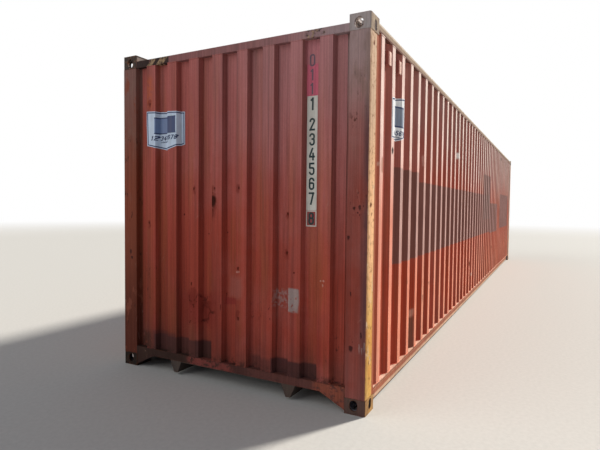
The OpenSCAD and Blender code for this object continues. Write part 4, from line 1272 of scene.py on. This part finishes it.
def makeStrip(strip):
    bm = bmesh.new()
    x, line = strip["x"], strip["boxLine"]
    outer = x + strip["thickness"]
    solidBlock(bm, (x, strip["left"], strip["bottom"]), (outer, strip["right"], strip["top"]), 0.0002)
    left, right, low, top = strip["left"], strip["right"], strip["boxBottom"], strip["boxTop"]
    for corners in (
        ((left, low), (left + line, top)),
        ((right - line, low), (right, top)),
        ((left + line, low), (right - line, low + line)),
        ((left + line, top - line), (right - line, top)),
    ):
        (y0, z0), (y1, z1) = corners
        solidBlock(bm, (x, y0, z0), (outer, y1, z1))
    whole = set(bm.faces)
    outer = x + strip["redThickness"]
    solidBlock(bm, (x, left + line, low + line), (outer, right - line, top - line))
    for face in set(bm.faces) - whole:
        face.material_index = 1
    finishPiece("numberStrip", bm, ["strip_white", "strip_red"])
    middle = (left + right) / 2
    rows = list(zip(strip["digits"], strip["heights"])) + [(strip["lastDigit"], (low + top) / 2)]
    for row, (digit, height) in enumerate(rows):
        place = (x + strip["digitGap"], middle, height)
        standDigit("stripDigit_%d" % (row + 1), digit, place, strip["digitSize"], "strip_ink")
    for digit, height, size in strip["fieldDigits"]:
        place = (x + strip["fieldGap"], middle - 0.004, height)
        standDigit("fieldDigit_%d" % round(height * 100), digit, place, size, "field_ink")


makeStrip(stripPlace)
print("number strip made")

# Weld beads: rippled runs along every seam, sunk a little, so that none stands past the castings
beadShape = {"radius": 0.0045, "ripple": 0.011, "unevenness": 0.22, "sides": 6, "swell": 1.12, "pinch": 0.86}
seams = {
    "end": 6.0895,
    "side": 1.2125,
    "castingBack": 5.918,
    "postInner": 1.061,
    "castingInner": 1.057,
    "castingFaces": (0.118, 2.778),
    "castingBacks": ((0.02, 0.163), (2.812, 2.868)),
    "castingInners": ((0.024, 0.118), (2.780, 2.836)),
    "wallEdges": ((6.044, 1.028, 0.0025), (6.043, 1.061, 0.0045)),
    "wallHeights": (0.192, 2.776),
    "wallSink": 0.0005,
    "frontReach": 1.02,
    "frontHeights": (0.190, 2.777),
    "sideReach": 5.91,
    "sideHeights": (0.164, 2.809),
    "sheetRadius": 0.003,
    "sheetHeights": (0.17, 2.806),
    "roofPitch": 0.209,
    "roofReach": 1.19,
    "roofTop": 2.872,
}
chance = random.Random(7)


def beadRun(bm, points, radius=beadShape["radius"]):
    for first, second in zip(points, points[1:]):
        start, stop = Vector(first), Vector(second)
        cuts = max(int((stop - start).length / beadShape["ripple"]), 1)
        direction = (stop - start).normalized()
        inner = roundBar(bm, start, stop, radius, beadShape["sides"], cuts)
        swells = [1 + beadShape["unevenness"] * (chance.random() - 0.5) * 2 for _ in range(cuts + 2)]
        for vert in inner:
            along = (vert.co - start).dot(direction)
            axis = start + direction * along
            ring = round(along / (stop - start).length * (cuts + 1))
            ripple = beadShape["swell" if ring % 2 else "pinch"]
            vert.co = axis + (vert.co - axis) * (swells[ring] * ripple)


def makeFrameBeads():
    bm = bmesh.new()
    for endSign in (1, -1):
        for side in (1, -1):
            x, y = seams["end"] * endSign, seams["side"] * side
            backX, postY = seams["castingBack"] * endSign, seams["postInner"] * side
            for height in seams["castingFaces"]:
                beadRun(bm, [(backX, y, height), (x, y, height), (x, postY, height)])
            for low, high in seams["castingBacks"]:
                beadRun(bm, [(backX, y, low), (backX, y, high)])
            if endSign > 0:
                innerY = seams["castingInner"] * side
                for low, high in seams["castingInners"]:
                    beadRun(bm, [(x, innerY, low), (x, innerY, high)])
    for side in (1, -1):
        for x, y, radius in seams["wallEdges"]:
            beadRun(bm, [(x, y * side, height) for height in seams["wallHeights"]], radius)
    finishPiece("frameBeads", bm, ["post_paint"], True)


def makeFrontBeads():
    bm = bmesh.new()
    bends = [-seams["frontReach"], *pressedBends(frontShape), seams["frontReach"]]
    for height in seams["frontHeights"]:
        beadRun(bm, [(pressedDepth(frontShape, y) - seams["wallSink"], y, height) for y in bends])
    finishPiece("frontWallBeads", bm, ["front_paint"], True)


def makeSideBeads(side, name):
    bm = bmesh.new()
    bends = [seams["sideReach"], *pressedBends(sideShape), -seams["sideReach"]]
    for height in seams["sideHeights"]:
        depths = [side * (pressedDepth(sideShape, x) - seams["wallSink"]) for x in bends]
        beadRun(bm, [(x, y, height) for x, y in zip(bends, depths)])
    finishPiece(name, bm, ["side_paint"], True)


def makeSheetSeams():
    bm = bmesh.new()
    for side in (1, -1):
        for panel in range(1, 10):
            x = sideShape["first"] + (panel * 4 + 0.5) * sideShape["step"]
            y = side * sideShape["valley"]
            beadRun(bm, [(x, y, height) for height in seams["sheetHeights"]], seams["sheetRadius"])
    for panel in range(-5, 6):
        ribs = (panel + (0.5 if panel > 0 else -0.5)) * 5 if panel else 0.5
        reach = seams["roofReach"]
        ends = [(ribs * seams["roofPitch"], y, seams["roofTop"]) for y in (-reach, reach)]
        beadRun(bm, ends, seams["sheetRadius"])
    finishPiece("sheetSeams", bm, ["side_paint"], True)


makeFrameBeads()
makeFrontBeads()
makeSideBeads(1, "sideBeadsLeft")
makeSideBeads(-1, "sideBeadsRight")
makeSheetSeams()
print("weld beads laid")

# Ventilator cowls: rounded hoods with louvres, riveted at the corners
ventShape = {
    "width": 0.072,
    "low": 2.642,
    "top": 2.743,
    "back": 1.195,
    "face": 1.2125,
    "middles": (5.624, 5.346),
    "louvres": 4,
    "louvreRise": 0.02,
    "louvreInset": 0.012,
    "louvreRadius": 0.0026,
    "rivetRise": 0.008,
    "rivetInset": 0.007,
    "rivetRadius": 0.003,
}


def makeCowl(side, name):
    bm = bmesh.new()
    for middle in ventShape["middles"]:
        half = ventShape["width"] / 2
        face = ventShape["face"] * side
        back = ventShape["back"] * side
        low = (middle - half, min(face, back), ventShape["low"])
        high = (middle + half, max(face, back), ventShape["top"])
        solidBlock(bm, low, high, 0.004, 3)
        step = (ventShape["top"] - ventShape["low"] - 0.03) / ventShape["louvres"]
        for row in range(ventShape["louvres"]):
            z = ventShape["low"] + ventShape["louvreRise"] + row * step
            y = face - 0.0004 * side
            inset = ventShape["louvreInset"]
            ends = (middle - half + inset, y, z), (middle + half - inset, y, z)
            roundBar(bm, *ends, ventShape["louvreRadius"], 8)
        for dx in (-1, 1):
            for z in (ventShape["low"] + ventShape["rivetRise"], ventShape["top"] - ventShape["rivetRise"]):
                x = middle + dx * (half - ventShape["rivetInset"])
                ends = (x, face - 0.001 * side, z), (x, face + 0.0008 * side, z)
                roundBar(bm, *ends, ventShape["rivetRadius"], 10)
    finishPiece(name, bm, ["vent_plastic"])


makeCowl(1, "ventCowlsLeft")
makeCowl(-1, "ventCowlsRight")
print("ventilators made")

# Bolts on the door hardware, heads as (radius, depth), rods as {distance from the middle: bracket heights}
doorBolts = {
    "hingeHeights": [0.440 + i * 0.68167 for i in range(4)],
    "strapFace": -6.040,
    "strapBolts": (1.045, 1.085, 1.125),
    "strapRows": (-0.02, 0.02),
    "strapHead": (0.0095, 0.006),
    "bracketFace": -6.0355,
    "bracketHead": (0.008, 0.005),
    "bracketOffset": 0.038,
    "bracketRows": (-0.018, 0.018),
    "rods": {
        0.190: (0.330, 1.070, 1.8325, 2.595),
        0.820: (0.330, 1.235, 1.915, 2.595),
    },
}


def boltHead(bm, place, radius, depth):
    x, y, z = place
    inner = roundBar(bm, (x + 0.001, y, z), (x - depth, y, z), radius, 10)
    outer = [v for v in inner if abs(v.co.x - (x - depth)) < 1e-6]
    rim = [e for e in {e for v in outer for e in v.link_edges} if all(v in outer for v in e.verts)]
    roundEdges(bm, rim, radius * 0.3)


def makeDoorBolts():
    bm = bmesh.new()
    for side in (1, -1):
        for height in doorBolts["hingeHeights"]:
            for across in doorBolts["strapBolts"]:
                for row in doorBolts["strapRows"]:
                    place = (doorBolts["strapFace"], side * across, height + row)
                    boltHead(bm, place, *doorBolts["strapHead"])
        for rod, heights in doorBolts["rods"].items():
            for height in heights:
                for offset in (-doorBolts["bracketOffset"], doorBolts["bracketOffset"]):
                    for row in doorBolts["bracketRows"]:
                        place = (doorBolts["bracketFace"], side * rod + offset, height + row)
                        boltHead(bm, place, *doorBolts["bracketHead"])
    finishPiece("doorBolts", bm, ["fitting_steel"], True)


makeDoorBolts()
print("door bolts set")

# Stage: pale floor that melts into a white background, soft key from behind the left side
studio = {
    "floorRadius": 150.0,
    "white": (1.0, 1.0, 1.0),
    "floorTone": (0.50, 0.49, 0.465),
    "fadeStart": 17.0,
    "fadeStop": 42.0,
    "skyTone": (0.215, 0.235, 0.27),
    "mirrorTone": (0.46, 0.49, 0.54),
    "keyFrom": (-1.75, 1.0, 1.6),
    "keyPower": 5.5,
    "keySpread": 7.0,
    "keyTone": (1.0, 0.95, 0.87),
    "fillFrom": (1.0, -0.98, 0.50),
    "fillPower": 1.42,
    "fillSpread": 62.0,
    "fillTone": (1.0, 0.98, 0.96),
}


def makeStage():
    world = bpy.data.worlds.new("paleStudio")
    world.use_nodes = True
    rays = newNode("LightPath", tree=world.node_tree).outputs
    seen = larger(rays["Is Camera Ray"], rays["Is Transmission Ray"])
    colour = mix(rays["Is Glossy Ray"], studio["skyTone"], studio["mirrorTone"])
    colour = mix(seen, colour, studio["white"])
    feedAll(world.node_tree.nodes["Background"], {"Color": colour, "Strength": 1.0})
    bpy.context.scene.world = world

    bm = bmesh.new()
    bmesh.ops.create_circle(bm, cap_ends=True, segments=96, radius=studio["floorRadius"])
    mesh = bpy.data.meshes.new("studioFloor")
    bm.to_mesh(mesh)
    bm.free()
    floor = bpy.data.objects.new("studioFloor", mesh)
    floor.location = (0, 0, -0.0005)
    bpy.context.scene.collection.objects.link(floor)
    material, place, shader = startMaterial("paleFloor")
    grain = ramp(noise(place, 30.0, 5.0, 0.6), 0.2, 0.8, 0.94, 1.04)
    tone = mix(1.0, studio["floorTone"], greyOf(grain), "MULTIPLY")
    feedAll(shader, {"Base Color": tone, "Roughness": 0.9})
    distance = newNode("VectorMath", {0: place}, operation="LENGTH").outputs["Value"]
    far = ramp(distance, studio["fadeStart"], studio["fadeStop"])
    tree = material.node_tree
    rays = newNode("LightPath", tree=tree).outputs
    seen = larger(rays["Is Camera Ray"], larger(rays["Is Glossy Ray"], rays["Is Transmission Ray"]))
    white = newNode("Emission", {"Color": studio["white"], "Strength": 1.0}, tree)
    melted = newNode("MixShader", {0: times(far, seen), 1: shader.outputs[0], 2: white.outputs[0]})
    feed(tree.nodes["Material Output"].inputs[0], melted.outputs[0])
    mesh.materials.append(material)

    for name in ("key", "fill"):
        light = bpy.data.lights.new(name + "Lamp", "SUN")
        light.energy = studio[name + "Power"]
        light.angle = radians(studio[name + "Spread"])
        light.color = studio[name + "Tone"]
        lamp = bpy.data.objects.new(name + "Lamp", light)
        lamp.rotation_mode = "QUATERNION"
        lamp.rotation_quaternion = Vector(studio[name + "From"]).to_track_quat("Z", "Y")
        bpy.context.scene.collection.objects.link(lamp)


makeStage()
print("stage set")
